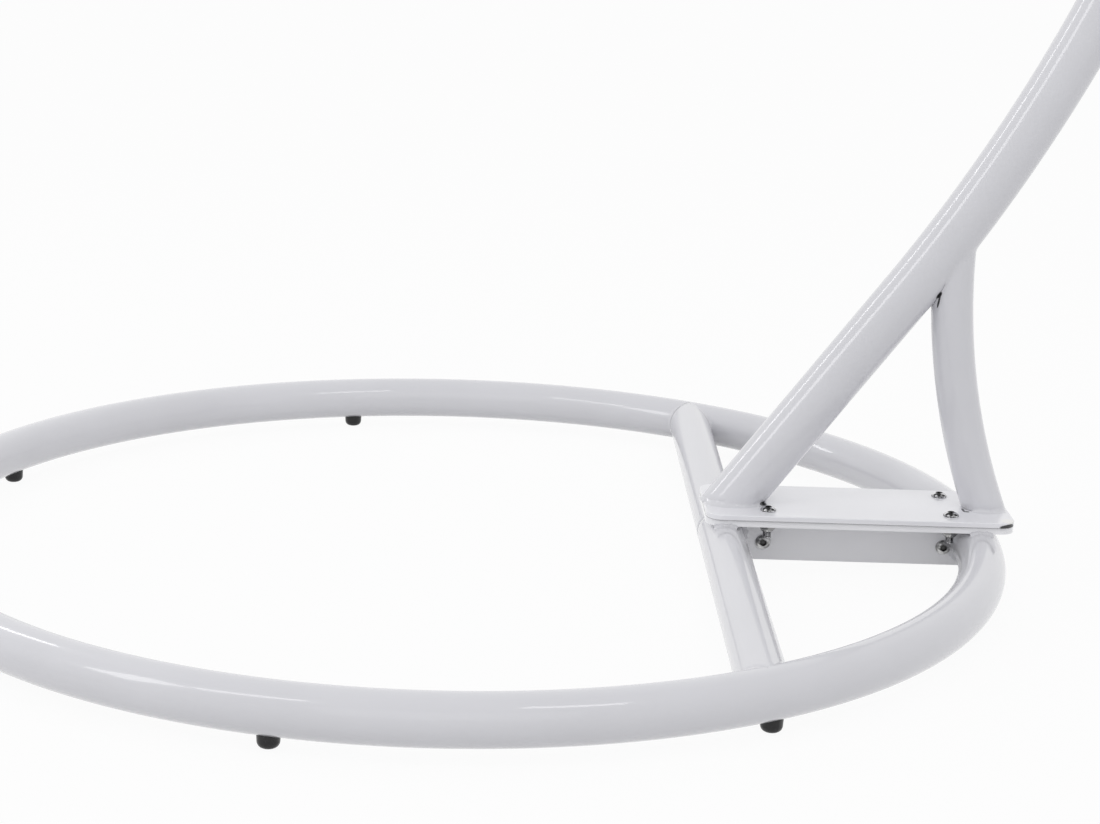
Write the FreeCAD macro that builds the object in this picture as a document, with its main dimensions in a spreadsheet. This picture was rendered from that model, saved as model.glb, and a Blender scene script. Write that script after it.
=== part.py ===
import FreeCAD, Part
import os
import re

import Sketcher

# Steel stand for a hanging chair: a split base ring with a cross bar, a bolted foot bracket,
# a C-shaped post with a bowed brace, and a swivel with a snap hook at its tip.
# Millimetres and degrees. +Z up, +X towards the post, origin on the floor under the ring's centre.

doc = FreeCAD.newDocument("HangingChairStand")

# Driving dimensions

SIZES = {
    # base ring, split into a front and a back half
    "ring_radius": 487.5,
    "ring_tube": 42,
    "ring_wall": 2.5,
    "foot_reach": 10,
    # cross bar, split at the foot bracket
    "bar_inset": 17.5,
    "bar_tube": 42,
    "bar_wall": 2.5,
    # angle brackets, back to back on the split
    "angle_leg": 50,
    "angle_web": 50,
    "angle_thickness": 6,
    "angle_root": 5,
    "root_clear": 0.3,
    "web_start_inset": 8,
    "web_end_inset": 16,
    # foot plate of the post
    "plate_past_ring": 28.5,
    "plate_length": 281,
    "plate_overhang": 2,
    "plate_thickness": 5,
    "corner_radius": 14,
    "edge_round": 0.8,
    # button-head bolts and nuts of the foot bracket
    "bolt_thread": 8,
    "bolt_hole": 8.6,
    "head_width": 14,
    "head_height": 4.4,
    "head_rim": 1.2,
    "socket_width": 5,
    "socket_depth": 2.6,
    "nut_width": 13,
    "nut_height": 8,
    "thread_fit": 0.05,
    "thread_past_nut": 7,
    "nut_clear_ring": 0.6,
    "nut_clear_bar": 12,
    "bolt_spread": 64,
    "web_bolt_drop": 27,
    # C-shaped post in three lengths
    "post_tube": 48,
    "post_wall": 1.5,
    "post_foot_inset": 27.5,
    "post_lean": 53.5,
    "post_straight_length": 243,
    "post_radius": 1505,
    "post_joint_lean": 70,
    "middle_radius": 950,
    "bow_lean": 100,
    "bow_radius": 540,
    "bow_end_lean": 188,
    "tip_length": 76,
    # sleeves inside the post's joints
    "sleeve_reach": 70,
    "sleeve_spare": 20,
    "sleeve_wall": 2.5,
    "sleeve_gap": 0.2,
    "sleeve_bolt_reach": 38,
    "cap_nut_height": 11,
    "cap_nut_hex": 6.5,
    "cap_nut_bore": 8,
    # brace between the plate and the post
    "brace_tube": 38,
    "brace_wall": 1.5,
    "brace_foot_inset": 21,
    "brace_foot_lean": 111.9,
    "brace_radius": 623,
    # sleeve inside the ring's far joint
    "ring_sleeve_turn": 8,
    "ring_screw_turn": 4,
    "ring_screw_thread": 6,
    "ring_screw_head": 10.5,
    "ring_screw_head_height": 3.3,
    # rubber feet under the ring
    "foot_top_width": 18.5,
    "foot_bottom_width": 17,
    "foot_edge_radius": 5,
    "foot_stem_width": 7,
    "foot_stem_fit": 0.1,
    "foot_catch_width": 9.5,
    "foot_catch_tip_width": 5,
    "foot_catch_height": 6,
    "foot_catch_gap": 0.8,
    "foot_turn_near": 58,
    "foot_turn_middle": 104,
    "foot_turn_far": 155,
    # plug in the post's open tip
    "cap_crown": 6,
    "cap_round": 3,
    "cap_insert": 22,
    # lug under the tip
    "lug_width": 30,
    "lug_thickness": 8,
    "lug_drop": 24,
    # swivel clevis
    "pin_thread": 10,
    "pin_fit": 0.05,
    "pin_head": 16,
    "pin_head_height": 4,
    "pin_ring": 15,
    "pin_ring_height": 3,
    "cheek_width": 24,
    "cheek_thickness": 5,
    "cheek_gap": 0.4,
    "barrel_width": 30,
    "barrel_top_drop": 19,
    "barrel_depth": 26,
    "chamber_width": 18.6,
    "chamber_depth": 15,
    # swivel eye
    "stem_width": 10,
    "stem_fit": 0.1,
    "stem_head_width": 17,
    "stem_head_height": 5,
    "thrust_washer_height": 1.2,
    "eye_radius": 14,
    "eye_wire": 9,
    "eye_clear": 3,
    # snap hook
    "hook_wire": 8,
    "hook_bend": 13,
    "hook_length": 46,
    "hook_clear": 0.3,
    "nose_length": 6,
    "stub_length": 10,
    "gate_wire": 7.2,
    "gate_clear": 0.4,
    "gate_neck": 7,
    "tongue_width": 2.8,
    "tongue_radius": 3,
    "tongue_clear": 0.3,
    "gate_pin_width": 2.5,
    "gate_pin_drop": 3,
}

sheet = doc.addObject("Spreadsheet::Sheet", "Sizes")
for row, (name, size) in enumerate(SIZES.items(), start=1):
    sheet.set(f"A{row}", name)
    sheet.set(f"B{row}", str(size))
    sheet.setAlias(f"B{row}", name)
doc.recompute()

# Places worked out from the driving dimensions, in order

LAYOUT = {
    "ring_z": "foot_reach + ring_tube / 2",
    "leg_under": "foot_reach + ring_tube",
    "leg_top": "leg_under + angle_thickness",
    "plate_top": "leg_top + plate_thickness",
    "plate_end": "ring_radius + plate_past_ring",
    "plate_start": "plate_end - plate_length",
    "plate_half": "angle_leg + plate_overhang",
    "bar_offset": "plate_start + bar_inset",
    "bar_z": "leg_under - bar_tube / 2",
    "bar_end": "sqrt(ring_radius ^ 2 - bar_offset ^ 2)",
    "web_bolt_z": "leg_under - web_bolt_drop",
    "web_under": "leg_top - angle_web",
    "inner_bolt_x": "bar_offset + bar_tube / 2 + nut_clear_bar + nut_width / 2",
    "outer_bolt_x": "ring_radius - ring_tube / 2 - nut_clear_ring - nut_width / 2",
    "dome_radius": "((head_width / 2) ^ 2 + (head_height - head_rim) ^ 2) / (2 * (head_height - head_rim))",
    "post_foot_x": "plate_start + post_foot_inset",
    "post_bend_x": "post_foot_x + post_straight_length * cos(post_lean)",
    "post_bend_z": "plate_top + post_straight_length * sin(post_lean)",
    "post_centre_x": "post_bend_x - post_radius * sin(post_lean)",
    "post_centre_z": "post_bend_z + post_radius * cos(post_lean)",
    "post_trim": "post_tube / post_radius * 180 / pi",
    "lead_turn": "(sleeve_reach + sleeve_spare) / post_radius * 180 / pi",
    "lead_lean": "post_joint_lean + lead_turn",
    "middle_centre_x": "post_centre_x + (post_radius - middle_radius) * sin(lead_lean)",
    "middle_centre_z": "post_centre_z - (post_radius - middle_radius) * cos(lead_lean)",
    "straight_x": "middle_centre_x + middle_radius * sin(bow_lean)",
    "straight_z": "middle_centre_z - middle_radius * cos(bow_lean)",
    "straight_half": "sleeve_reach + sleeve_spare",
    "upper_joint_x": "straight_x + straight_half * cos(bow_lean)",
    "upper_joint_z": "straight_z + straight_half * sin(bow_lean)",
    "bow_start_x": "straight_x + 2 * straight_half * cos(bow_lean)",
    "bow_start_z": "straight_z + 2 * straight_half * sin(bow_lean)",
    "bow_centre_x": "bow_start_x - bow_radius * sin(bow_lean)",
    "bow_centre_z": "bow_start_z + bow_radius * cos(bow_lean)",
    "tip_x": "bow_centre_x + bow_radius * sin(bow_end_lean)",
    "tip_z": "bow_centre_z - bow_radius * cos(bow_end_lean)",
    "tip_end_x": "tip_x + tip_length * cos(bow_end_lean)",
    "tip_end_z": "tip_z + tip_length * sin(bow_end_lean)",
    "hang_x": "tip_x + tip_length / 2 * cos(bow_end_lean)",
    "hang_z": "tip_z + tip_length / 2 * sin(bow_end_lean)",
    "post_bore": "post_tube - 2 * post_wall",
    "sleeve_width": "post_bore - 2 * sleeve_gap",
    "sleeve_turn": "sleeve_reach / post_radius * 180 / pi",
    "sleeve_bolt_turn": "sleeve_bolt_reach / post_radius * 180 / pi",
    "brace_foot_x": "plate_end - brace_foot_inset",
    "brace_centre_x": "brace_foot_x + brace_radius * sin(brace_foot_lean)",
    "brace_centre_z": "plate_top - brace_radius * cos(brace_foot_lean)",
    "brace_trim": "brace_tube / brace_radius * 180 / pi",
    "ring_bore": "ring_tube - 2 * ring_wall",
    "ring_end_turn": "angle_thickness / (ring_radius - ring_tube / 2) * 180 / pi",
    "pin_z": "hang_z - post_tube / 2 - lug_drop",
    "fork_half": "lug_thickness / 2 + cheek_gap + cheek_thickness",
    "barrel_top": "pin_z - barrel_top_drop",
    "barrel_under": "barrel_top - barrel_depth",
    "chamber_floor": "barrel_top - chamber_depth",
    "stem_head_under": "chamber_floor + thrust_washer_height + thread_fit",
    "eye_z": "barrel_under - eye_clear - eye_radius - eye_wire / 2",
    "eye_low": "eye_z - eye_radius",
    "hook_top": "eye_low + eye_wire / 2 + hook_clear - hook_bend + hook_wire / 2",
    "hook_low": "hook_top - hook_length",
    "nose_end": "hook_top - nose_length",
    "stub_top": "hook_low + stub_length",
    "gate_pin_z": "stub_top - gate_pin_drop",
}

layout = doc.addObject("App::VarSet", "Layout")


def linked(text):
    """The expression with every size and place written as the sheet's or the layout's own."""
    text = re.sub(r"(sin|cos)\((\w+)\)", r"\1(\2 * 1 deg)", text)

    def owner(word):
        name = word.group(0)
        if name in SIZES:
            return f"Sizes.{name}"
        return f"Layout.{name}" if name in LAYOUT else name

    return re.sub(r"[a-z]\w*", owner, text)


for name, formula in LAYOUT.items():
    layout.addProperty("App::PropertyFloat", name)
    layout.setExpression(name, linked(formula))
doc.recompute()


def value(text):
    """The number that an expression comes to."""
    return float(sheet.evalExpression(linked(text)))


# Shared ways of making and placing a shape

def at(x="0", y="0", z="0", *turns):
    """A placement expression: turns, each an axis and an angle, the last one first, then the shift."""
    rotation = " * ".join(
        f"create(<<rotation>>; create(<<vector>>; {axis}); {linked(angle)})" for axis, angle in turns)
    rotation = rotation or "create(<<rotation>>; create(<<vector>>; 0; 0; 1); 0)"
    shift = f"create(<<vector>>; {linked(x)}; {linked(y)}; {linked(z)})"
    return f"create(<<placement>>; {shift}; {rotation})"


ABOUT_X = "1; 0; 0"
ABOUT_Y = "0; 1; 0"
ABOUT_Z = "0; 0; 1"
ALONG_X = (ABOUT_Y, "90")
ALONG_Y = (ABOUT_X, "-90")
TO_FRONT = (ABOUT_X, "90")
SEAM_ASIDE = (ABOUT_Z, "90")
BAR_SEAM = (ABOUT_Z, "30")


def primitive(kind, label, place=None, **sizes):
    shape = doc.addObject(f"Part::{kind}", label)
    shape.Label = label
    for size, formula in sizes.items():
        shape.setExpression(size, linked(formula))
    if place:
        shape.setExpression("Placement", place)
    return shape


def cylinder(label, width, height, place=None):
    return primitive("Cylinder", label, place, Radius=f"({width}) / 2", Height=height)


def box(label, x, y, z, length, width, height):
    """A box from its low corner."""
    return primitive("Box", label, at(x, y, z), Length=length, Width=width, Height=height)


def hexagon(label, width, height, place=None):
    """A hexagonal prism, sized across its flats."""
    prism = primitive("Prism", label, place, Circumradius=f"({width}) / sqrt(3)", Height=height)
    prism.Polygon = 6
    return prism


def upright_arc(label, centre_x, centre_z, radius, width, start, turn):
    """A round bar bent in the XZ plane; start is the place on its circle, counted from +X up."""
    place = at(centre_x, "0", centre_z, (ABOUT_Y, f"-({start})"), (ABOUT_X, "90"))
    return primitive("Torus", label, place, Radius1=radius, Radius2=f"({width}) / 2", Angle3=turn)


def flat_arc(label, z, radius, width, start, turn):
    """A round bar bent about the Z axis."""
    place = at("0", "0", z, (ABOUT_Z, start))
    return primitive("Torus", label, place, Radius1=radius, Radius2=f"({width}) / 2", Angle3=turn)


def fused(label, *shapes):
    whole = doc.addObject("Part::MultiFuse", label)
    whole.Label = label
    whole.Shapes = list(shapes)
    return whole


def cut(label, base, *tools):
    rest = base
    for number, tool in enumerate(tools, start=1):
        step = doc.addObject("Part::Cut", f"{label}_cut_{number}")
        step.Base = rest
        step.Tool = tool
        rest = step
    rest.Label = label
    return rest


def common(label, first, second):
    both = doc.addObject("Part::MultiCommon", label)
    both.Label = label
    both.Shapes = [first, second]
    return both


def together(label, *shapes):
    whole = doc.addObject("Part::Compound", label)
    whole.Label = label
    whole.Links = list(shapes)
    return whole


def group(label, source, places):
    """Equal pieces as one node of separate solids."""
    copies = []
    for number, place in enumerate(places, start=1):
        copy = doc.addObject("App::Link", f"{label}_{number}")
        copy.LinkedObject = source
        copy.LinkTransform = True
        copy.setExpression("Placement", place)
        copies.append(copy)
    return together(label, *copies)


def mirrored(label, source):
    """The front piece, as the back one turned over the split of the base."""
    front = doc.addObject("Part::Mirroring", label)
    front.Label = label
    front.Source = source
    front.Base = (0, 0, 0)
    front.Normal = (0, 1, 0)
    return front


def profile(body, label, plane, points, offset):
    """A closed sketch of straight lines, each corner held by two bound distances."""
    sketch = body.newObject("Sketcher::SketchObject", label)
    support = next(part for part in body.Origin.OriginFeatures if part.Role == plane)
    sketch.AttachmentSupport = [(support, "")]
    sketch.MapMode = "FlatFace"
    sketch.setExpression("AttachmentOffset.Base.z", linked(offset))
    corners = [FreeCAD.Vector(value(x), value(y), 0) for x, y in points]
    for number, corner in enumerate(corners):
        sketch.addGeometry(Part.LineSegment(corner, corners[(number + 1) % len(corners)]), False)
    for number in range(len(corners)):
        following = (number + 1) % len(corners)
        sketch.addConstraint(Sketcher.Constraint("Coincident", number, 2, following, 1))
    for number, (x, y) in enumerate(points):
        for direction, formula in (("DistanceX", x), ("DistanceY", y)):
            held = sketch.addConstraint(
                Sketcher.Constraint(direction, -1, 1, number, 1, value(formula)))
            sketch.setExpression(f"Constraints[{held}]", linked(formula))
    return sketch


def edges_where(feature, test):
    doc.recompute()
    return [f"Edge{number}" for number, edge in enumerate(feature.Shape.Edges, start=1)
            if test(edge.CenterOfMass, edge)]


def is_level(edge, height):
    """Whether the whole edge lies at that height."""
    return all(abs(end - value(height)) < 0.01 for end in (edge.BoundBox.ZMin, edge.BoundBox.ZMax))


def softened(label, base, radius, test):
    """The shape with its chosen edges rounded, outside a body."""
    doc.recompute()
    fillet = doc.addObject("Part::Fillet", label)
    fillet.Base = base
    fillet.Edges = [(number, value(radius), value(radius))
                    for number, edge in enumerate(base.Shape.Edges, start=1) if test(edge.CenterOfMass)]
    return fillet


def padded(body, sketch, length):
    pad = body.newObject("PartDesign::Pad", f"{body.Label}_pad")
    pad.Profile = sketch
    pad.setExpression("Length", linked(length))
    return pad


def rounded(body, feature, label, radius, test):
    fillet = body.newObject("PartDesign::Fillet", label)
    fillet.Base = (feature, edges_where(feature, test))
    fillet.setExpression("Radius", linked(radius))
    return fillet


# Room that the tubes' ends leave for the rounded root of the angle brackets

root_notch = cylinder("root_notch", "2 * (angle_root + root_clear)", "2 * plate_length",
                      at("plate_start - plate_length / 2", "angle_thickness", "leg_under", ALONG_X))

# Base ring: two half rings of steel tube that meet at the far joint and at the foot bracket

foot_turns = ["foot_turn_near", "foot_turn_middle", "foot_turn_far"]
foot_places = [at("0", "0", "0", (ABOUT_Z, turn)) for turn in foot_turns]
foot_hole = cylinder("foot_hole", "foot_stem_width + 2 * foot_stem_fit", "foot_reach + 2 * ring_wall",
                     at("ring_radius", "0", "0", SEAM_ASIDE))
foot_holes = group("foot_holes", foot_hole, foot_places)
screw_places = [at("0", "0", "0", (ABOUT_Z, f"180 + {side} * ring_screw_turn")) for side in (1, -1)]
ring_screw_hole = cylinder("ring_screw_hole", "ring_screw_thread + 2 * thread_fit", "ring_z",
                           at("ring_radius", "0", "0", SEAM_ASIDE))
ring_screw_holes = group("ring_screw_holes", ring_screw_hole, screw_places)

ring_solid = flat_arc("ring_solid", "ring_z", "ring_radius", "ring_tube", "0", "360")
ring_hollow = flat_arc("ring_hollow", "ring_z", "ring_radius", "ring_bore", "0", "360")
half_solid = flat_arc("half_solid", "ring_z", "ring_radius", "ring_tube",
                      "ring_end_turn", "180 - ring_end_turn")
back_half_ring = cut("back_half_ring", half_solid, ring_hollow, foot_holes, ring_screw_holes, root_notch)
front_half_ring = mirrored("front_half_ring", back_half_ring)

# Cross bar: one straight tube to each side of the bracket, saddled on the ring

bar_length = "bar_end - angle_thickness"
bar_place = at("bar_offset", "angle_thickness", "bar_z", ALONG_Y, BAR_SEAM)
bar_solid = cylinder("bar_solid", "bar_tube", bar_length, bar_place)
bar_hollow = cylinder("bar_hollow", "bar_tube - 2 * bar_wall", bar_length, bar_place)
back_cross_tube = cut("back_cross_tube", bar_solid, bar_hollow, ring_solid, root_notch)
front_cross_tube = mirrored("front_cross_tube", back_cross_tube)

# Foot bracket: two angles back to back on the split, leg on top of the tubes, web between their ends

bolt_xs = ["inner_bolt_x", "outer_bolt_x"]
bolt_ys = [f"{side} * bolt_spread / 2" for side in (-1, 1)]
plate_places = [(x, y) for x in bolt_xs for y in bolt_ys]
plate_hole = cylinder("plate_hole", "bolt_hole", "plate_top")
plate_holes = group("plate_holes", plate_hole, [at(x, y, "ring_z") for x, y in plate_places])
web_hole = cylinder("web_hole", "bolt_hole", "2 * angle_leg", at("0", "-angle_leg", "0", ALONG_Y))
web_holes = group("web_holes", web_hole, [at(x, "0", "web_bolt_z") for x in bolt_xs])

angle_body = doc.addObject("PartDesign::Body", "angle_body")
angle_outline = profile(angle_body, "angle_outline", "YZ_Plane", [
    ("0", "leg_top"), ("0", "web_under"), ("angle_thickness", "web_under"),
    ("angle_thickness", "leg_under"), ("angle_leg", "leg_under"), ("angle_leg", "leg_top"),
], "plate_start")
angle_pad = padded(angle_body, angle_outline, "plate_length")
angle_root = rounded(
    angle_body, angle_pad, "angle_root", "angle_root",
    lambda middle, edge: abs(middle.y - value("angle_thickness")) < 0.01
    and abs(middle.z - value("leg_under")) < 0.01)
angle_corners = rounded(
    angle_body, angle_root, "angle_corners", "corner_radius",
    lambda middle, edge: abs(middle.y - value("angle_leg")) < 0.01
    and abs(edge.Length - value("angle_thickness")) < 0.01)
rounded(angle_body, angle_corners, "angle_edges", "edge_round",
        lambda middle, edge: middle.y > value("angle_leg - corner_radius")
        and is_level(edge, "leg_top"))
web_start = box("web_start", "plate_start - angle_thickness", "-angle_thickness", "0",
                "angle_thickness + web_start_inset", "2 * angle_thickness + angle_root", "leg_under")
web_end = box("web_end", "plate_end - web_end_inset", "-angle_thickness", "0",
              "angle_thickness + web_end_inset", "2 * angle_thickness + angle_root", "leg_under")
back_angle_bracket = cut("back_angle_bracket", angle_body, plate_holes, web_holes, web_start, web_end)
front_angle_bracket = mirrored("front_angle_bracket", back_angle_bracket)

# Foot plate: the flat plate that the post and the brace stand on

plate_body = doc.addObject("PartDesign::Body", "plate_body")
plate_outline = profile(plate_body, "plate_outline", "XY_Plane", [
    ("plate_start", "-plate_half"), ("plate_end", "-plate_half"),
    ("plate_end", "plate_half"), ("plate_start", "plate_half"),
], "leg_top")
plate_pad = padded(plate_body, plate_outline, "plate_thickness")
plate_corners = rounded(plate_body, plate_pad, "plate_corners", "corner_radius",
                        lambda middle, edge: abs(edge.Length - value("plate_thickness")) < 0.01)
rounded(plate_body, plate_corners, "plate_edges", "edge_round",
        lambda middle, edge: is_level(edge, "leg_top") or is_level(edge, "plate_top"))
foot_plate = cut("foot_plate", plate_body, plate_holes)


# Fasteners: domed bolts with a hexagon socket, plain nuts and cap nuts

def button_bolt(label, length):
    """Head on the XY plane, shank down, a domed top from a sphere through its rim and its crown."""
    head = cylinder(f"{label}_head", "head_width", "head_height")
    dome = primitive("Sphere", f"{label}_dome", at("0", "0", "head_height - dome_radius"),
                     Radius="dome_radius")
    crown = common(f"{label}_crown", head, dome)
    shank = cylinder(f"{label}_shank", "bolt_thread", length, at("0", "0", f"-({length})"))
    socket = hexagon(f"{label}_socket", "socket_width", "head_height",
                     at("0", "0", "head_height - socket_depth"))
    return cut(label, fused(f"{label}_blank", crown, shank), socket)


def nut(label):
    """Seat on the XY plane, body down, two flats across X."""
    blank = hexagon(f"{label}_blank", "nut_width", "nut_height", at("0", "0", "-nut_height", (ABOUT_Z, "30")))
    bore = cylinder(f"{label}_bore", "bolt_thread + 2 * thread_fit", "3 * nut_height",
                    at("0", "0", "-2 * nut_height"))
    return cut(label, blank, bore)


plate_bolt = button_bolt("plate_bolt", "plate_thickness + angle_thickness + nut_height + thread_past_nut")
plate_bolts = group("plate_bolts", plate_bolt, [at(x, y, "plate_top") for x, y in plate_places])
plain_nut = nut("plain_nut")
plate_nuts = group("plate_nuts", plain_nut, [at(x, y, "leg_under") for x, y in plate_places])

web_bolt = button_bolt("web_bolt", "2 * angle_thickness + nut_height + thread_past_nut")
web_bolts = group("web_bolts", web_bolt,
                  [at(x, "-angle_thickness", "web_bolt_z", TO_FRONT) for x in bolt_xs])
web_nuts = group("web_nuts", plain_nut,
                 [at(x, "angle_thickness", "web_bolt_z", TO_FRONT) for x in bolt_xs])

# Post: lower length welded to the plate, middle length and upper bow, all one tube size

under_plate = box("under_plate", "-2 * plate_end", "-plate_end", "plate_top - 2 * post_radius",
                  "4 * plate_end", "2 * plate_end", "2 * post_radius")


def sleeve_bolt_places(joint_x, joint_z, lean, y):
    places = []
    for side in (-1, 1):
        reach = f"{side} * sleeve_bolt_reach"
        places.append(at(f"{joint_x} + {reach} * cos({lean})", y, f"{joint_z} + {reach} * sin({lean})"))
    return places


def arc_bolt_places(y):
    """Bolts of the lower joint, a reach along the curve to each side of it."""
    places = []
    for side in (-1, 1):
        angle = f"(post_joint_lean + {side} * sleeve_bolt_turn) * 1 deg"
        places.append(at(f"post_centre_x + post_radius * sin({angle})", y,
                         f"post_centre_z - post_radius * cos({angle})"))
    return places


def joint_places(y):
    upper = sleeve_bolt_places("upper_joint_x", "upper_joint_z", "bow_lean", y)
    return arc_bolt_places(y) + upper


joint_hole = cylinder("joint_hole", "bolt_hole", "2 * post_tube", at("0", "-post_tube", "0", ALONG_Y))
joint_holes = group("joint_holes", joint_hole, joint_places("0"))


def lower_run(label, width, spare):
    """A straight from under the plate's top, then the lower curve."""
    straight = cylinder(f"{label}_straight", width, "post_straight_length + post_tube",
                        at("post_bend_x", "0", "post_bend_z", (ABOUT_Y, "270 - post_lean")))
    bend = upright_arc(f"{label}_bend", "post_centre_x", "post_centre_z", "post_radius", width,
                       "post_lean - 90", f"post_joint_lean - post_lean + {spare} * post_trim")
    return fused(label, straight, bend)


post_solid = lower_run("post_solid", "post_tube", 0)
lower_post = cut("lower_post", post_solid, lower_run("post_hollow", "post_bore", 1), under_plate, joint_holes)


def middle_run(label, width, spare):
    """Lead on the lower curve, then a tighter curve, then half of the straight."""
    lead = upright_arc(f"{label}_lead", "post_centre_x", "post_centre_z", "post_radius", width,
                       f"post_joint_lean - {spare} * post_trim - 90", f"lead_turn + {spare} * post_trim")
    bend = upright_arc(f"{label}_bend", "middle_centre_x", "middle_centre_z", "middle_radius", width,
                       "lead_lean - 90", "bow_lean - lead_lean")
    straight = cylinder(f"{label}_straight", width, f"straight_half + {spare} * post_tube",
                        at("straight_x", "0", "straight_z", (ABOUT_Y, "90 - bow_lean")))
    return fused(label, lead, bend, straight)


middle_post = cut("middle_post", middle_run("middle_solid", "post_tube", 0),
                  middle_run("middle_hollow", "post_bore", 1), joint_holes)


def upper_run(label, width, spare):
    """The other half of the straight, the overhead bend and a short straight tip."""
    straight = cylinder(f"{label}_straight", width, f"straight_half + {spare} * post_tube",
                        at("bow_start_x", "0", "bow_start_z", (ABOUT_Y, "270 - bow_lean")))
    bend = upright_arc(f"{label}_bend", "bow_centre_x", "bow_centre_z", "bow_radius", width,
                       "bow_lean - 90", "bow_end_lean - bow_lean")
    tip = cylinder(f"{label}_tip", width, f"tip_length + {spare} * post_tube",
                   at("tip_x", "0", "tip_z", (ABOUT_Y, "90 - bow_end_lean")))
    return fused(label, straight, bend, tip)


upper_solid = upper_run("upper_solid", "post_tube", 0)
upper_bow = cut("upper_bow", upper_solid, upper_run("upper_hollow", "post_bore", 1), joint_holes)

# Sleeves inside the post's two joints, with a bolt and a cap nut on each side

lower_sleeve_solid = upright_arc(
    "lower_sleeve_solid", "post_centre_x", "post_centre_z", "post_radius", "sleeve_width",
    "post_joint_lean - sleeve_turn - 90", "2 * sleeve_turn")
lower_sleeve_hollow = upright_arc(
    "lower_sleeve_hollow", "post_centre_x", "post_centre_z", "post_radius",
    "sleeve_width - 2 * sleeve_wall", "post_joint_lean - 2 * sleeve_turn - 90", "4 * sleeve_turn")
lower_sleeve = cut("lower_sleeve", lower_sleeve_solid, lower_sleeve_hollow, joint_holes)

upper_sleeve_place = at("upper_joint_x - sleeve_reach * cos(bow_lean)", "0",
                        "upper_joint_z - sleeve_reach * sin(bow_lean)", (ABOUT_Y, "90 - bow_lean"))
upper_sleeve_solid = cylinder("upper_sleeve_solid", "sleeve_width", "2 * sleeve_reach", upper_sleeve_place)
upper_sleeve_hollow = cylinder("upper_sleeve_hollow", "sleeve_width - 2 * sleeve_wall", "2 * sleeve_reach",
                               upper_sleeve_place)
upper_sleeve = cut("upper_sleeve", upper_sleeve_solid, upper_sleeve_hollow, joint_holes)

sleeve_bolt = button_bolt("sleeve_bolt", "post_tube + cap_nut_bore")
turned_bolt = group("turned_bolt", sleeve_bolt, [at("0", "0", "0", TO_FRONT)])
sleeve_bolts = group("sleeve_bolts", turned_bolt, joint_places("-post_tube / 2"))

cap_nut_hexagon = hexagon("cap_nut_hexagon", "nut_width", "cap_nut_hex", at("0", "0", "-cap_nut_hex"))
cap_nut_dome = primitive("Sphere", "cap_nut_dome", at("0", "0", "nut_width / 2 - cap_nut_height"),
                         Radius="nut_width / 2")
cap_nut_room = box("cap_nut_room", "-nut_width", "-nut_width", "-cap_nut_hex",
                   "2 * nut_width", "2 * nut_width", "2 * nut_width")
cap_nut_bore = cylinder("cap_nut_hollow", "bolt_thread + 2 * thread_fit", "cap_nut_bore + thread_fit",
                        at("0", "0", "-cap_nut_bore - thread_fit"))
cap_nut_crown = cut("cap_nut_crown", cap_nut_dome, cap_nut_room)
cap_nut = cut("cap_nut", fused("cap_nut_blank", cap_nut_hexagon, cap_nut_crown), cap_nut_bore)
turned_cap_nut = group("turned_cap_nut", cap_nut, [at("0", "0", "0", TO_FRONT)])
sleeve_cap_nuts = group("sleeve_cap_nuts", turned_cap_nut, joint_places("post_tube / 2"))

# Brace: a bowed tube from the plate's outer end up to the post's underside

brace_solid = upright_arc("brace_solid", "brace_centre_x", "brace_centre_z", "brace_radius", "brace_tube",
                          "270 - brace_foot_lean", "2 * brace_foot_lean + brace_trim - 180")
brace_hollow = upright_arc("brace_hollow", "brace_centre_x", "brace_centre_z", "brace_radius",
                           "brace_tube - 2 * brace_wall", "90", "180")
inside_post_curve = cylinder("inside_post_curve", "2 * post_radius", "2 * post_tube",
                             at("post_centre_x", "-post_tube", "post_centre_z", ALONG_Y))
brace_tube = cut("brace_tube", brace_solid, brace_hollow, under_plate, inside_post_curve, post_solid)

# Far joint of the ring: a curved sleeve inside both halves, screwed from below

ring_sleeve_width = "ring_bore - 2 * sleeve_gap"
ring_sleeve_solid = flat_arc("ring_sleeve_solid", "ring_z", "ring_radius", ring_sleeve_width,
                             "180 - ring_sleeve_turn", "2 * ring_sleeve_turn")
ring_sleeve_hollow = flat_arc("ring_sleeve_hollow", "ring_z", "ring_radius",
                              f"{ring_sleeve_width} - 2 * sleeve_wall", "0", "360")
ring_sleeve = cut("ring_sleeve", ring_sleeve_solid, ring_sleeve_hollow, ring_screw_holes)

ring_screw_length = "ring_wall + sleeve_gap + sleeve_wall + ring_screw_thread / 2"
ring_screw_head = cylinder("ring_screw_crown", "ring_screw_head", "ring_screw_head_height",
                           at("ring_radius", "0", "foot_reach - ring_screw_head_height"))
ring_screw_shank = cylinder("ring_screw_shank", "ring_screw_thread", ring_screw_length,
                            at("ring_radius", "0", "foot_reach"))
ring_screw_socket = hexagon("ring_screw_socket", "socket_width - 1", "socket_depth",
                            at("ring_radius", "0", "foot_reach - ring_screw_head_height - socket_depth / 3"))
ring_screw_blank = fused("ring_screw_blank", ring_screw_head, ring_screw_shank)
ring_screw = cut("ring_screw", ring_screw_blank, ring_screw_socket)
ring_sleeve_screws = group("ring_sleeve_screws", ring_screw, screw_places)

# Rubber feet: round-nosed, saddled on the ring, each held by a stem that catches inside the tube

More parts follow.
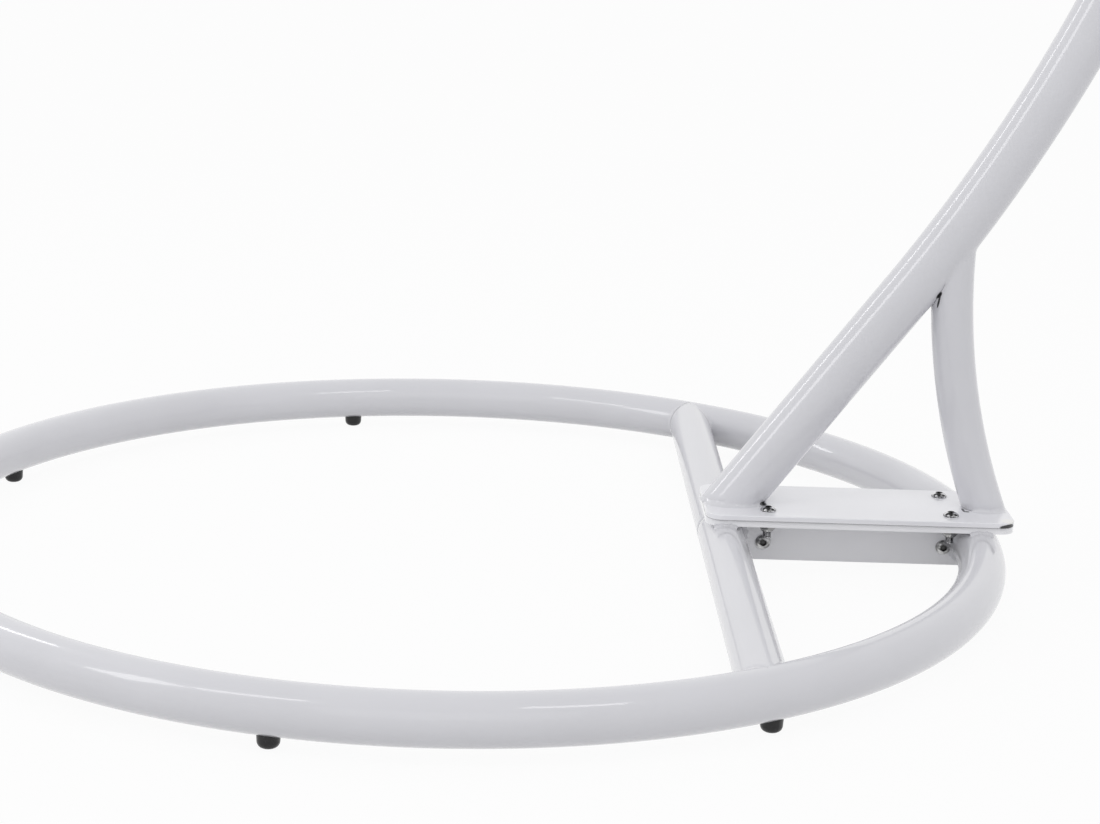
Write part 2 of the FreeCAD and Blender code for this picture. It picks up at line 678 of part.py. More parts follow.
foot_cone = primitive("Cone", "foot_cone", at("ring_radius"), Radius1="foot_bottom_width / 2",
                      Radius2="foot_top_width / 2", Height="foot_reach + foot_top_width / 6")
foot_round = softened("foot_round", foot_cone, "foot_edge_radius", lambda middle: middle.z < 0.01)
foot_nose = cut("foot_nose", foot_round, ring_solid)
foot_stem = cylinder("foot_shaft", "foot_stem_width", "ring_wall + foot_catch_gap + foot_edge_radius",
                     at("ring_radius", "0", "foot_reach - foot_edge_radius"))
foot_catch = primitive("Cone", "foot_barb", at("ring_radius", "0", "foot_reach + ring_wall + foot_catch_gap"),
                       Radius1="foot_catch_width / 2", Radius2="foot_catch_tip_width / 2",
                       Height="foot_catch_height")
foot_plug = fused("foot_plug", foot_stem, foot_catch)
rubber_foot = fused("rubber_foot", foot_nose, foot_plug)
near_nose = cut("near_nose", group("near_nose_blank", foot_nose, foot_places[:1]), bar_solid)
near_foot = fused("near_foot", near_nose, group("near_plug", foot_plug, foot_places[:1]))
back_feet = together("back_feet", near_foot, group("back_other_feet", rubber_foot, foot_places[1:]))
rubber_feet = together("rubber_feet", back_feet, mirrored("front_feet", back_feet))

# Plug that closes the tip of the bow

cap_turn = (ABOUT_Y, "90 - bow_end_lean")
cap_face = cylinder("cap_face", "post_tube", "cap_crown", at("tip_end_x", "0", "tip_end_z", cap_turn))
cap_crown = softened("cap_crown", cap_face, "cap_round",
                     lambda middle: middle.x < value("tip_end_x + cap_crown / 2 * cos(bow_end_lean)"))
cap_stem = cylinder("cap_stem", "post_bore - 2 * sleeve_gap", "cap_insert",
                    at("tip_end_x - cap_insert * cos(bow_end_lean)", "0",
                       "tip_end_z - cap_insert * sin(bow_end_lean)", cap_turn))
bow_end_cap = fused("bow_end_cap", cap_crown, cap_stem)

# Lug welded under the tip

lug_bar = box("lug_bar", "hang_x - lug_width / 2", "-lug_thickness / 2", "pin_z",
              "lug_width", "lug_thickness", "hang_z - pin_z")
lug_end = cylinder("lug_end", "lug_width", "lug_thickness",
                   at("hang_x", "-lug_thickness / 2", "pin_z", ALONG_Y))
pin_bore = cylinder("pin_bore", "pin_thread + 2 * pin_fit", "4 * fork_half",
                    at("hang_x", "-2 * fork_half", "pin_z", ALONG_Y))
hanger_lug = cut("hanger_lug", fused("lug_blank", lug_bar, lug_end), pin_bore, upper_solid)

# Swivel clevis on the lug: two cheeks on a bored barrel

cheek_bar = box("cheek_bar", "hang_x - cheek_width / 2", "-fork_half", "barrel_top - cheek_thickness",
                "cheek_width", "2 * fork_half", "barrel_top_drop + cheek_thickness")
cheek_end = cylinder("cheek_end", "cheek_width", "2 * fork_half",
                     at("hang_x", "-fork_half", "pin_z", ALONG_Y))
barrel = cylinder("barrel", "barrel_width", "barrel_depth", at("hang_x", "0", "barrel_under"))
fork_slot = box("fork_slot", "hang_x - lug_width", "-lug_thickness / 2 - cheek_gap", "barrel_top",
                "2 * lug_width", "lug_thickness + 2 * cheek_gap", "2 * lug_width")
chamber = cylinder("chamber", "chamber_width", "chamber_depth", at("hang_x", "0", "chamber_floor"))
stem_bore = cylinder("stem_bore", "stem_width + 2 * stem_fit", "2 * barrel_depth",
                     at("hang_x", "0", "chamber_floor - barrel_depth"))
clevis = cut("swivel_clevis", fused("clevis_blank", cheek_bar, cheek_end, barrel),
             fork_slot, chamber, stem_bore, pin_bore)

pin_length = "2 * fork_half + pin_ring_height"
pin_shank = cylinder("pin_shank", "pin_thread", pin_length, at("hang_x", "-fork_half", "pin_z", ALONG_Y))
pin_crown = cylinder("pin_crown", "pin_head", "pin_head_height",
                     at("hang_x", "-fork_half - pin_head_height", "pin_z", ALONG_Y))
clevis_pin = fused("clevis_pin", pin_shank, pin_crown)
ring_blank = cylinder("pin_ring_blank", "pin_ring", "pin_ring_height",
                      at("hang_x", "fork_half", "pin_z", ALONG_Y))
clevis_pin_ring = cut("clevis_pin_ring", ring_blank, pin_bore)

# Swivel eye: a headed stem that turns in the barrel, with a welded ring under it

washer_blank = cylinder("washer_blank", "stem_head_width", "thrust_washer_height",
                        at("hang_x", "0", "chamber_floor"))
thrust_washer = cut("thrust_washer", washer_blank, stem_bore)
stem_head = cylinder("stem_head", "stem_head_width", "stem_head_height", at("hang_x", "0", "stem_head_under"))
stem = cylinder("stem", "stem_width", "stem_head_under - eye_z - eye_radius",
                at("hang_x", "0", "eye_z + eye_radius"))
eye = upright_arc("eye", "hang_x", "eye_z", "eye_radius", "eye_wire", "0", "360")
swivel_eye = fused("swivel_eye", stem_head, stem, eye)

# Snap hook: an open link of round bar in the YZ plane, with a gate on its front side


def hook_bar(label, y, low, high):
    return cylinder(label, "hook_wire", f"({high}) - ({low})", at("hang_x", y, low))


def hook_bend_at(label, z, start):
    place = at("hang_x", "0", z, (ABOUT_X, start), (ABOUT_Y, "90"), (ABOUT_Z, "90"))
    return primitive("Torus", label, place, Radius1="hook_bend", Radius2="hook_wire / 2", Angle3="180")


gate_slot = box("gate_slot", "hang_x - tongue_width / 2 - tongue_clear", "-hook_bend - hook_wire",
                "gate_pin_z - tongue_radius - 2 * tongue_clear",
                "tongue_width + 2 * tongue_clear", "2 * hook_wire", "hook_wire * 2")
gate_pin = cylinder("gate_pin", "gate_pin_width", "hook_wire",
                    at("hang_x - hook_wire / 2", "-hook_bend", "gate_pin_z", ALONG_X))
gate_bore = cylinder("gate_bore", "gate_pin_width + 2 * thread_fit", "2 * hook_wire",
                     at("hang_x - hook_wire", "-hook_bend", "gate_pin_z", ALONG_X))
hook_blank = fused(
    "hook_blank",
    hook_bend_at("hook_crown", "hook_top", "0"),
    hook_bar("hook_spine", "hook_bend", "hook_low", "hook_top"),
    hook_bend_at("hook_foot", "hook_low", "180"),
    hook_bar("hook_nose", "-hook_bend", "nose_end", "hook_top"),
    hook_bar("hook_stub", "-hook_bend", "hook_low", "stub_top"))
snap_hook = cut("snap_hook", hook_blank, gate_slot, gate_bore)

gate_bar = cylinder("gate_bar", "gate_wire", "nose_end - gate_clear - gate_pin_z - gate_neck",
                    at("hang_x", "-hook_bend", "gate_pin_z + gate_neck"))
tongue_bar = box("tongue_bar", "hang_x - tongue_width / 2", "-hook_bend - tongue_radius", "gate_pin_z",
                 "tongue_width", "2 * tongue_radius", "gate_neck + tongue_radius")
tongue_end = cylinder("tongue_end", "2 * tongue_radius", "tongue_width",
                      at("hang_x - tongue_width / 2", "-hook_bend", "gate_pin_z", ALONG_X))
snap_gate = cut("snap_gate", fused("gate_blank", gate_bar, tongue_bar, tongue_end), gate_bore)

# Check every object, then write one file for each piece

PIECES = [
    front_half_ring, back_half_ring, front_cross_tube, back_cross_tube,
    front_angle_bracket, back_angle_bracket, web_bolts, web_nuts,
    foot_plate, plate_bolts, plate_nuts,
    lower_post, middle_post, upper_bow, lower_sleeve, upper_sleeve, sleeve_bolts, sleeve_cap_nuts,
    brace_tube, ring_sleeve, ring_sleeve_screws, rubber_feet, bow_end_cap,
    hanger_lug, clevis, clevis_pin, clevis_pin_ring, thrust_washer, swivel_eye,
    snap_hook, snap_gate, gate_pin,
]

doc.recompute()
for item in doc.Objects:
    if {"Invalid", "Error"} & set(item.State):
        raise RuntimeError(f"{item.Label} did not build: {item.State}")
for piece in PIECES:
    if piece.Shape.isNull() or not piece.Shape.isValid() or not piece.Shape.Solids:
        raise RuntimeError(f"{piece.Label} is not a valid solid")

os.makedirs("parts", exist_ok=True)
for piece in PIECES:
    piece.Shape.exportStep(f"parts/{piece.Label}.step")
    print(piece.Label, len(piece.Shape.Solids), "solids,", round(piece.Shape.Volume), "mm3")
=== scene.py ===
# %% [markdown]
# # A white steel stand for a hanging chair
#
# The CAD model already has every tube, plate and bolt at its true size, so this lesson dresses it. It loads
# the imported model, sets the photograph's camera and light, and gives each part the finish that it has on the
# real stand, with some light and shade painted in: lighter coats on the plate and the angles, shade in the
# gaps and sockets, and a highlight on a chip. It draws the tubes, bolts and nuts once more with a finer
# surface, and it adds the weld beads, which the CAD model leaves out.

import bmesh
import bpy
import numpy as np
from mathutils import Matrix, Vector


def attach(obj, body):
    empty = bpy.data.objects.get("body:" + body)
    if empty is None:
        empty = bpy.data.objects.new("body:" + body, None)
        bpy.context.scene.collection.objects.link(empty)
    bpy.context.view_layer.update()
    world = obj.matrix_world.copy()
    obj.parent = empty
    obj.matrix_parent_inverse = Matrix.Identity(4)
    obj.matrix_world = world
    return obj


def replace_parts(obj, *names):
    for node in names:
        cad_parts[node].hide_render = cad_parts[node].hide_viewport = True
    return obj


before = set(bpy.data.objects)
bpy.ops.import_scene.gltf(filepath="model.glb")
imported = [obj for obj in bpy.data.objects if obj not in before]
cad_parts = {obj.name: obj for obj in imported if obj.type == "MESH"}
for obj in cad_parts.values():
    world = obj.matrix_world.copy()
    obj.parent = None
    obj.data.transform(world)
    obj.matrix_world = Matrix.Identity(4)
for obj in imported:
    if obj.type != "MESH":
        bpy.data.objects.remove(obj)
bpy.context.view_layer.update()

# %% [markdown]
# ## Camera
#
# The photograph was taken with a long lens from the front and a little above, and it shows only the base
# and the lower end of the post. The camera could be turned by hand until the render fits, but the ring is
# a true circle, so its outline in the picture gives the place, the turn and the focal length. They are
# written here as the fit gave them.

# %% Camera at the photograph's place
PICTURE_WIDTH, SENSOR_WIDTH = 1100, 36.0
FOCAL_PIXELS = 2375.55
CAMERA_PLACE = Vector((0.0410, -2.1060, 0.6714))
CAMERA_YAW, CAMERA_PITCH, CAMERA_ROLL = 0.0236, -0.2467, 0.0371


def camera_turn(yaw, pitch, roll):
    """Right, up and backward axes: yaw from +Y towards +X, pitch above the horizon, roll about the view."""
    forward = Vector((np.sin(yaw) * np.cos(pitch), np.cos(yaw) * np.cos(pitch), np.sin(pitch)))
    level = Vector((np.cos(yaw), -np.sin(yaw), 0))
    upright = level.cross(forward)
    right = level * np.cos(roll) + upright * np.sin(roll)
    up = upright * np.cos(roll) - level * np.sin(roll)
    return Matrix((right, up, -forward)).transposed()


lens = bpy.data.cameras.new("photo_camera")
lens.sensor_fit = "HORIZONTAL"
lens.sensor_width = SENSOR_WIDTH
lens.lens = FOCAL_PIXELS * SENSOR_WIDTH / PICTURE_WIDTH
camera = bpy.data.objects.new("photo_camera", lens)
bpy.context.scene.collection.objects.link(camera)
camera.matrix_world = Matrix.LocRotScale(
    CAMERA_PLACE, camera_turn(CAMERA_YAW, CAMERA_PITCH, CAMERA_ROLL).to_quaternion(), None)
bpy.context.scene.camera = camera
print("lens:", round(lens.lens, 2), "mm")

# %% [markdown]
# ## Studio
#
# The real stand was shot on white paper under wide soft boxes. A white floor could be had by turning the
# lamps up, but then the white paint would burn out. So the lamps stay at a plain level, and the floor and
# the world are white only where the camera, or a reflection, looks straight at them.

# %% Node helpers
bpy.context.scene.view_settings.view_transform = "Standard"


def node(tree, kind, **settings):
    """A new node; settings are its properties, or its inputs by name."""
    made = tree.nodes.new(f"ShaderNode{kind}")
    for name, setting in settings.items():
        if hasattr(made, name):
            setattr(made, name, setting)
        else:
            made.inputs[name.replace("_", " ")].default_value = setting
    return made


def feed(tree, source, socket):
    """Joins a socket to an input, or sets the input to a plain value."""
    if isinstance(source, bpy.types.NodeSocket):
        tree.links.new(source, socket)
    else:
        socket.default_value = source


def calculate(tree, operation, *terms):
    """A Math node on values, each a socket or a number."""
    made = node(tree, "Math", operation=operation)
    for slot, term in enumerate(terms):
        feed(tree, term, made.inputs[slot])
    return made.outputs[0]


def seen_directly(tree):
    """1 for rays from the camera, from gloss and through glass, 0 for the rays that light the object."""
    path = node(tree, "LightPath")
    seen = calculate(tree, "MAXIMUM", path.outputs["Is Camera Ray"], path.outputs["Is Glossy Ray"])
    return calculate(tree, "MAXIMUM", seen, path.outputs["Is Transmission Ray"])


def either_of(tree, amount, first, second, output):
    """A mix of two shaders, the second one by that amount, joined to the output."""
    mix = node(tree, "MixShader")
    for source, socket in zip((amount, first.outputs[0], second.outputs[0]), mix.inputs):
        tree.links.new(source, socket)
    tree.links.new(mix.outputs[0], output.inputs[0])


# %% World and floor
PAPER_WHITE = (1.0, 1.0, 1.0, 1.0)
ROOM_LIGHT = (0.71, 0.71, 0.72, 1.0)
FLOOR_COLOUR = (0.80, 0.80, 0.80, 1.0)
FLOOR_SHOWN_WHITE = 0.94
FLOOR_HALF = 12.0

world = bpy.data.worlds.new("studio")
world.use_nodes = True
bpy.context.scene.world = world
world.node_tree.nodes.clear()
tree = world.node_tree
lit, white = (node(tree, "Background", Color=colour) for colour in (ROOM_LIGHT, PAPER_WHITE))
either_of(tree, seen_directly(tree), lit, white, node(tree, "OutputWorld"))

paper = bpy.data.materials.new("paper_floor")
paper.use_nodes = True
tree = paper.node_tree
tree.nodes.clear()
matt = node(tree, "BsdfDiffuse", Color=FLOOR_COLOUR)
glow = node(tree, "Emission", Color=PAPER_WHITE)
shown_white = calculate(tree, "MULTIPLY", seen_directly(tree), FLOOR_SHOWN_WHITE)
either_of(tree, shown_white, matt, glow, node(tree, "OutputMaterial"))

floor_mesh = bpy.data.meshes.new("floor")
floor_mesh.from_pydata([(x * FLOOR_HALF, y * FLOOR_HALF, 0) for x, y in ((-1, -1), (1, -1), (1, 1), (-1, 1))],
                       [], [(0, 1, 2, 3)])
floor = bpy.data.objects.new("floor", floor_mesh)
floor_mesh.materials.append(paper)
bpy.context.scene.collection.objects.link(floor)
print("floor:", 2 * FLOOR_HALF, "m wide")

# %% [markdown]
# ## Lamps
#
# Gloss paint shows each lamp as a streak along a tube. A reflection on a tube keeps the part of the view
# that runs along the tube, so a streak's length and place follow from the lamp's. One wide box, far in front,
# gives the plain light. Two strips above the front give the streaks on the ring, an upright strip at the left
# gives the post's sharp line, and a strip in line with the post gives its softer band.

# %% Lamps
POST_LEAN = np.radians(53.5)
POST_LINE = Vector((np.cos(POST_LEAN), 0, np.sin(POST_LEAN)))
UPRIGHT, ACROSS = Vector((0, 0, 1)), Vector((1, 0, 0))
# each lamp's place, target and long side, its width and length in metres, and its power in watts
LAMPS = {
    "right_strip": ((1.0, -1.4, 2.6), (0.1, -0.4, 0.0), ACROSS, 0.35, 0.8, 3.5),
    "left_strip": ((-1.5, -1.57, 2.6), (-0.1, -0.4, 0.0), ACROSS, 0.35, 1.0, 4.4),
    "front_box": ((0.3, -6.4, 4.0), (0.2, 0.0, 0.2), UPRIGHT, 6.0, 3.6, 24),
    "line_strip": ((-1.6, 0.83, 1.40), (0.40, 0.0, 0.25), UPRIGHT, 0.22, 0.85, 3.4),
    "band_strip": ((-1.75, -1.0, 1.45), (0.40, 0.0, 0.25), POST_LINE, 0.5, 0.7, 4.0),
}


def soft_box(name, place, target, long_side, width, length, power):
    """A rectangular lamp that faces its target, its length as near to long_side as that allows."""
    light = bpy.data.lights.new(name, "AREA")
    light.shape = "RECTANGLE"
    light.size, light.size_y, light.energy = width, length, power
    lamp = bpy.data.objects.new(name, light)
    bpy.context.scene.collection.objects.link(lamp)
    back = (Vector(place) - Vector(target)).normalized()
    across = long_side.cross(back).normalized()
    turn = Matrix((across, back.cross(across), back)).transposed()
    lamp.matrix_world = Matrix.LocRotScale(Vector(place), turn.to_quaternion(), None)
    return lamp


for name, settings in LAMPS.items():
    soft_box(name, *settings)
print("lamps:", ", ".join(LAMPS))

# %% [markdown]
# ## Effects that several finishes share
#
# Powder coat is never quite flat: it dries with a fine orange peel, and light pools a little unevenly on it.
# Metal that was turned or pressed has fine lines. Both could be painted into each material, but a node group
# keeps them in one place, and each finish then uses it with its own values.

# %% Helpers for node groups
def group_of(name, inputs, outputs):
    """A new shader node group with its named sockets, and its own input and output nodes."""
    made = bpy.data.node_groups.new(name, "ShaderNodeTree")
    for label, (kind, start) in inputs.items():
        made.interface.new_socket(label, in_out="INPUT", socket_type=f"NodeSocket{kind}").default_value = start
    for label, kind in outputs.items():
        made.interface.new_socket(label, in_out="OUTPUT", socket_type=f"NodeSocket{kind}")
    return made, made.nodes.new("NodeGroupInput").outputs, made.nodes.new("NodeGroupOutput").inputs


def place_group(tree, group, **settings):
    """A node of that group in a material, with its inputs set or joined by name."""
    made = tree.nodes.new("ShaderNodeGroup")
    made.node_tree = group
    for name, setting in settings.items():
        feed(tree, setting, made.inputs[name.replace("_", " ")])
    return made.outputs


def noise(tree, where, scale, detail=2.0, roughness=0.5):
    """A noise value between about 0 and 1 at a place."""
    made = node(tree, "TexNoise", Detail=detail, Roughness=roughness)
    feed(tree, where, made.inputs["Vector"])
    feed(tree, scale, made.inputs["Scale"])
    return made.outputs["Fac"]


def spread(tree, value, low, high, start=0.0, end=1.0):
    """The value's range from low to high, stretched to run from start to end."""
    made = node(tree, "MapRange")
    for socket, source in zip(made.inputs[:5], (value, low, high, start, end)):
        feed(tree, source, socket)
    return made.outputs[0]


# %% Orange peel, pressed lines and spots
CLOUD_SCALE, RIPPLE_SCALE, RIPPLE_SHARE, CLOUD_RANGE = 6.0, 26.0, 0.4, (0.35, 1.05)
COAT_SHADES, COAT_ROUGHER = (0.975, 1.02), (-0.03, 0.04)
STAIN_SCALE, STAIN_RANGE, LINE_RANGE = 240.0, (0.3, 0.7), (0.6, 1.4)
METAL_SHADES, METAL_ROUGHER = (0.84, 1.12), (-0.06, 0.12)
FRAY_SCALE, SPOT_EDGE = 420.0, (0.85, 1.0)

coat_grain, inside, out = group_of(
    "coat_grain", {"Place": ("Vector", (0, 0, 0)), "Peel Scale": ("Float", 170.0), "Rough": ("Float", 0.3)},
    {"Height": "Float", "Shade": "Float", "Roughness": "Float"})
tree = coat_grain
feed(tree, noise(tree, inside["Place"], inside["Peel Scale"], 1.0), out["Height"])
cloud = noise(tree, inside["Place"], CLOUD_SCALE, 0.0)
ripple = noise(tree, inside["Place"], RIPPLE_SCALE, 0.0)
both = calculate(tree, "MULTIPLY_ADD", ripple, RIPPLE_SHARE, cloud)
feed(tree, spread(tree, both, *CLOUD_RANGE, *COAT_SHADES), out["Shade"])
rougher = spread(tree, both, *CLOUD_RANGE, *COAT_ROUGHER)
feed(tree, calculate(tree, "ADD", rougher, inside["Rough"]), out["Roughness"])

metal_lines, inside, out = group_of(
    "metal_lines",
    {"Place": ("Vector", (0, 0, 0)), "Stretch": ("Vector", (60, 60, 2500)), "Rough": ("Float", 0.25)},
    {"Height": "Float", "Shade": "Float", "Roughness": "Float"})
tree = metal_lines
drawn = node(tree, "VectorMath", operation="MULTIPLY")
feed(tree, inside["Place"], drawn.inputs[0])
feed(tree, inside["Stretch"], drawn.inputs[1])
line = noise(tree, drawn.outputs[0], 1.0, 3.0)
stain = noise(tree, inside["Place"], STAIN_SCALE, 3.0)
feed(tree, line, out["Height"])
feed(tree, spread(tree, calculate(tree, "ADD", line, stain), *LINE_RANGE, *METAL_SHADES), out["Shade"])
rougher = spread(tree, stain, *STAIN_RANGE, *METAL_ROUGHER)
feed(tree, calculate(tree, "ADD", inside["Rough"], rougher), out["Roughness"])

spot, inside, out = group_of(
    "spot", {"Place": ("Vector", (0, 0, 0)), "Centre": ("Vector", (0, 0, 0)), "Turn": ("Float", 0.0),
             "Reach": ("Vector", (0.01, 0.01, 0.01)), "Fray": ("Float", 0.2)}, {"Mask": "Float"})
tree = spot
aside = node(tree, "VectorMath", operation="SUBTRACT")
feed(tree, inside["Place"], aside.inputs[0])
feed(tree, inside["Centre"], aside.inputs[1])
rotated = node(tree, "VectorRotate", rotation_type="Y_AXIS")
feed(tree, aside.outputs[0], rotated.inputs["Vector"])
feed(tree, inside["Turn"], rotated.inputs["Angle"])
scaled = node(tree, "VectorMath", operation="DIVIDE")
feed(tree, rotated.outputs[0], scaled.inputs[0])
feed(tree, inside["Reach"], scaled.inputs[1])
away = node(tree, "VectorMath", operation="LENGTH")
feed(tree, scaled.outputs[0], away.inputs[0])
uneven = calculate(tree, "SUBTRACT", noise(tree, inside["Place"], FRAY_SCALE), 0.5)
ragged = calculate(tree, "MULTIPLY_ADD", uneven, inside["Fray"], away.outputs["Value"])
feed(tree, spread(tree, ragged, *SPOT_EDGE, 1.0, 0.0), out["Mask"])
print("groups:", coat_grain.name, metal_lines.name, spot.name)

# %% [markdown]
# ## White powder coat
#
# The tubes and plates are white, a little cool, with a smooth gloss. One plain colour would look like
# plastic, so the coat's grain changes its shade and roughness slightly and raises its surface by hundredths
# of a millimetre. The plate and the angles have the same white coat as the tubes but look whiter, and that
# light is painted in as lighter coats. Where two parts meet, the coat doesn't close the gap, and the shade
# down in it is painted in as a dark line or hollow. The plate's chipped corner has a painted highlight. Those
# marks are spots of the same finish, each set by its place and its reach.

# %% Powder coat
COAT_COLOUR = (0.715, 0.715, 0.745, 1.0)
# the plate's and the angles' coats are lighter copies of the same white coat: painted light
PLATE_PAINTED_LIGHT_COLOUR = (0.86, 0.86, 0.89, 1.0)
ANGLE_PAINTED_LIGHT_COLOUR = (0.93, 0.93, 0.95, 1.0)
# painted shade: the dark down in a gap, groove or crevice between parts
GAP_SHADE_COLOUR = (0.020, 0.020, 0.022, 1.0)
# a chipped corner, painted pale as its highlight
CHIP_HIGHLIGHT_COLOUR = (0.92, 0.91, 0.88, 1.0)
COAT_ROUGH, PEEL_DEPTH, COAT_SPECULAR, GLOSS_WEIGHT, GLOSS_ROUGH = 0.30, 0.000012, 0.28, 0.85, 0.05


def material(name):
    """A new material with a Principled shader joined to its output."""
    made = bpy.data.materials.new(name)
    made.use_nodes = True
    made.node_tree.nodes.clear()
    shader = node(made.node_tree, "BsdfPrincipled")
    made.node_tree.links.new(shader.outputs[0], node(made.node_tree, "OutputMaterial").inputs[0])
    return made, made.node_tree, shader


def mixed(tree, amount, first, second, blend="MIX"):
    """A colour mix of two colours, each a socket or a colour."""
    made = node(tree, "Mix", data_type="RGBA", blend_type=blend)
    feed(tree, amount, made.inputs["Factor"])
    feed(tree, first, made.inputs[6])
    feed(tree, second, made.inputs[7])
    return made.outputs[2]


def shaded(tree, colour, shade):
    """The colour made lighter or darker by a value around 1."""
    grey = node(tree, "CombineColor")
    for socket in grey.inputs[:3]:
        tree.links.new(shade, socket)
    return mixed(tree, 1.0, colour, grey.outputs[0], "MULTIPLY")


def raised(tree, height, depth, shader):
    """A bump of that depth in metres on the shader."""
    bump = node(tree, "Bump", Strength=1.0, Distance=depth)
    tree.links.new(height, bump.inputs["Height"])
    tree.links.new(bump.outputs[0], shader.inputs["Normal"])


def coat(name, gaps=(), chip_highlights=(), paint=COAT_COLOUR):
    """White coat, with painted shade in the gaps and a painted highlight on a chip; a spot is centre, reach and turn.
    """
    made, tree, shader = material(name)
    place = node(tree, "TexCoord").outputs["Object"]
    grain = place_group(tree, coat_grain, Place=place, Rough=COAT_ROUGH)
    colour = shaded(tree, paint, grain["Shade"])
    # the chip's painted highlight first, then the painted shade in the gaps
    for spots, shown in ((chip_highlights, CHIP_HIGHLIGHT_COLOUR), (gaps, GAP_SHADE_COLOUR)):
        for centre, reach, turn in spots:
            mask = place_group(tree, spot, Place=place, Centre=centre, Reach=reach, Turn=turn)["Mask"]
            colour = mixed(tree, mask, colour, shown)
    tree.links.new(colour, shader.inputs["Base Color"])
    tree.links.new(grain["Roughness"], shader.inputs["Roughness"])
    raised(tree, grain["Height"], PEEL_DEPTH, shader)
    shader.inputs["Specular IOR Level"].default_value = COAT_SPECULAR
    shader.inputs["Coat Weight"].default_value = GLOSS_WEIGHT
    shader.inputs["Coat Roughness"].default_value = GLOSS_ROUGH
    return made


# each spot's centre, its reach along X, Y and Z, and its turn about Y
LEG_TOP = 0.058
# every spot but the corner chip is painted shade in a seam, gap or crevice where parts meet
LEG_SEAM = ((0.375, 0.0, LEG_TOP), (9.0, 9.0, 0.00042), 0.0)
POST_TOE = ((0.2892, -0.0120, 0.0643), (0.0048, 0.0085, 0.0020), 0.0)
BRACE_TOE = ((0.4742, -0.0120, 0.0633), (0.0014, 0.0065, 0.0010), 0.0)
BRACE_HOOK = ((0.4768, -0.0170, 0.0633), (0.0026, 0.0022, 0.0010), 0.0)
CROTCH_TIP = ((0.4363, -0.0133, 0.2636), (0.0019, 0.0060, 0.0042), -0.51)
CROTCH_EDGE = ((0.4368, -0.0125, 0.2580), (0.0008, 0.0060, 0.0075), -0.13)
BAR_GAP = ((0.2655, -0.0500, 0.0500), (0.0032, 0.0040, 0.0016), 0.0)
RING_GAP = ((0.4715, -0.0500, 0.0503), (0.0036, 0.0040, 0.0013), 0.0)
# the plate's chipped corner, with its highlight painted pale
CORNER_CHIP_HIGHLIGHT = ((0.5095, -0.0440, 0.0636), (0.0065, 0.0075, 0.0030), 0.0)
CORNER_GAP = ((0.5110, -0.0500, 0.0592), (0.0120, 0.0060, 0.0029), 0.0)
FAR_SEAM = ((-0.4875, 0.0, 0.031), (0.05, 0.0005, 0.05), 0.0)
LOWER_SEAM = ((0.61148, 0.0, 0.63881), (0.06, 0.06, 0.0005), np.radians(-20.0))
UPPER_SEAM = ((0.64912, 0.0, 1.24883), (0.06, 0.06, 0.0005), np.radians(10.0))

white_coat = coat("white_coat")
# the plate and the angles get the lighter coats, which are painted light; their spots are painted shade, but for the
# chip's painted highlight
plate_coat = coat("white_coat_plate_painted_light_and_shade", [LEG_SEAM, CORNER_GAP, POST_TOE, BRACE_TOE, BRACE_HOOK], [CORNER_CHIP_HIGHLIGHT],
                  paint=PLATE_PAINTED_LIGHT_COLOUR)
angle_coat = coat("white_coat_angle_painted_light_and_shade", [LEG_SEAM, BAR_GAP, RING_GAP], paint=ANGLE_PAINTED_LIGHT_COLOUR)
# dark spots on the tubes: painted shade in the joints, in the crotch and at the toe
post_coat = coat("white_coat_post", [POST_TOE, CROTCH_TIP, LOWER_SEAM])
joint_coat = coat("white_coat_joints", [LOWER_SEAM, UPPER_SEAM])
brace_coat = coat("white_coat_brace", [CROTCH_TIP, CROTCH_EDGE])
ring_coat = coat("white_coat_ring", [FAR_SEAM])
coats = (white_coat, plate_coat, angle_coat, post_coat, joint_coat, brace_coat, ring_coat)
print("coats:", ", ".join(made.name for made in coats))

# %% [markdown]
# ## Steel, rubber and plastic
# The dark down in each bolt's socket is painted shade.
#
# The bolts are bright steel, and a mirror shows the room that it stands in, its dark side too. So they look
# darker than the white around them, with sharp glints. A whole room could be built for them to reflect, but
# this studio is white all round, and a slow noise in the direction of the reflection stands in for the room.
# The feet are glossy black rubber, and the plug in the tip is white plastic.

# %% Steel, rubber and plastic
# the painted shade down in a bolt's socket
SOCKET_SHADE_COLOUR = (0.018, 0.018, 0.017, 1.0)
ROOM_SCALE, ROOM_RANGE = 1.7, (0.38, 0.62)
LINE_DEPTH, STEEL_GLOSS_ROUGH, MOULDED_SPECULAR = 0.00002, 0.10, 0.4


def steel(name, colour, rough, stretch, coat_weight, darkest, brightest):
    """Metal with fine pressed lines, with painted shade where the mesh's own attribute says; the colour is a
    painted reflection of the room, from its darkest to its brightest side."""
    made, tree, shader = material(name)
    place = node(tree, "TexCoord").outputs
    lines = place_group(tree, metal_lines, Place=place["Object"], Stretch=stretch, Rough=rough)
    room = spread(tree, noise(tree, place["Reflection"], ROOM_SCALE, 0.0), *ROOM_RANGE, darkest, brightest)
    shine = shaded(tree, colour, calculate(tree, "MULTIPLY", room, lines["Shade"]))
    painted_shade = node(tree, "Attribute", attribute_name="painted_shade").outputs["Fac"]
    tree.links.new(mixed(tree, painted_shade, shine, SOCKET_SHADE_COLOUR), shader.inputs["Base Color"])
    tree.links.new(lines["Roughness"], shader.inputs["Roughness"])
    raised(tree, lines["Height"], LINE_DEPTH, shader)
    shader.inputs["Metallic"].default_value = 1.0
    shader.inputs["Coat Weight"].default_value = coat_weight
    shader.inputs["Coat Roughness"].default_value = STEEL_GLOSS_ROUGH
    return made


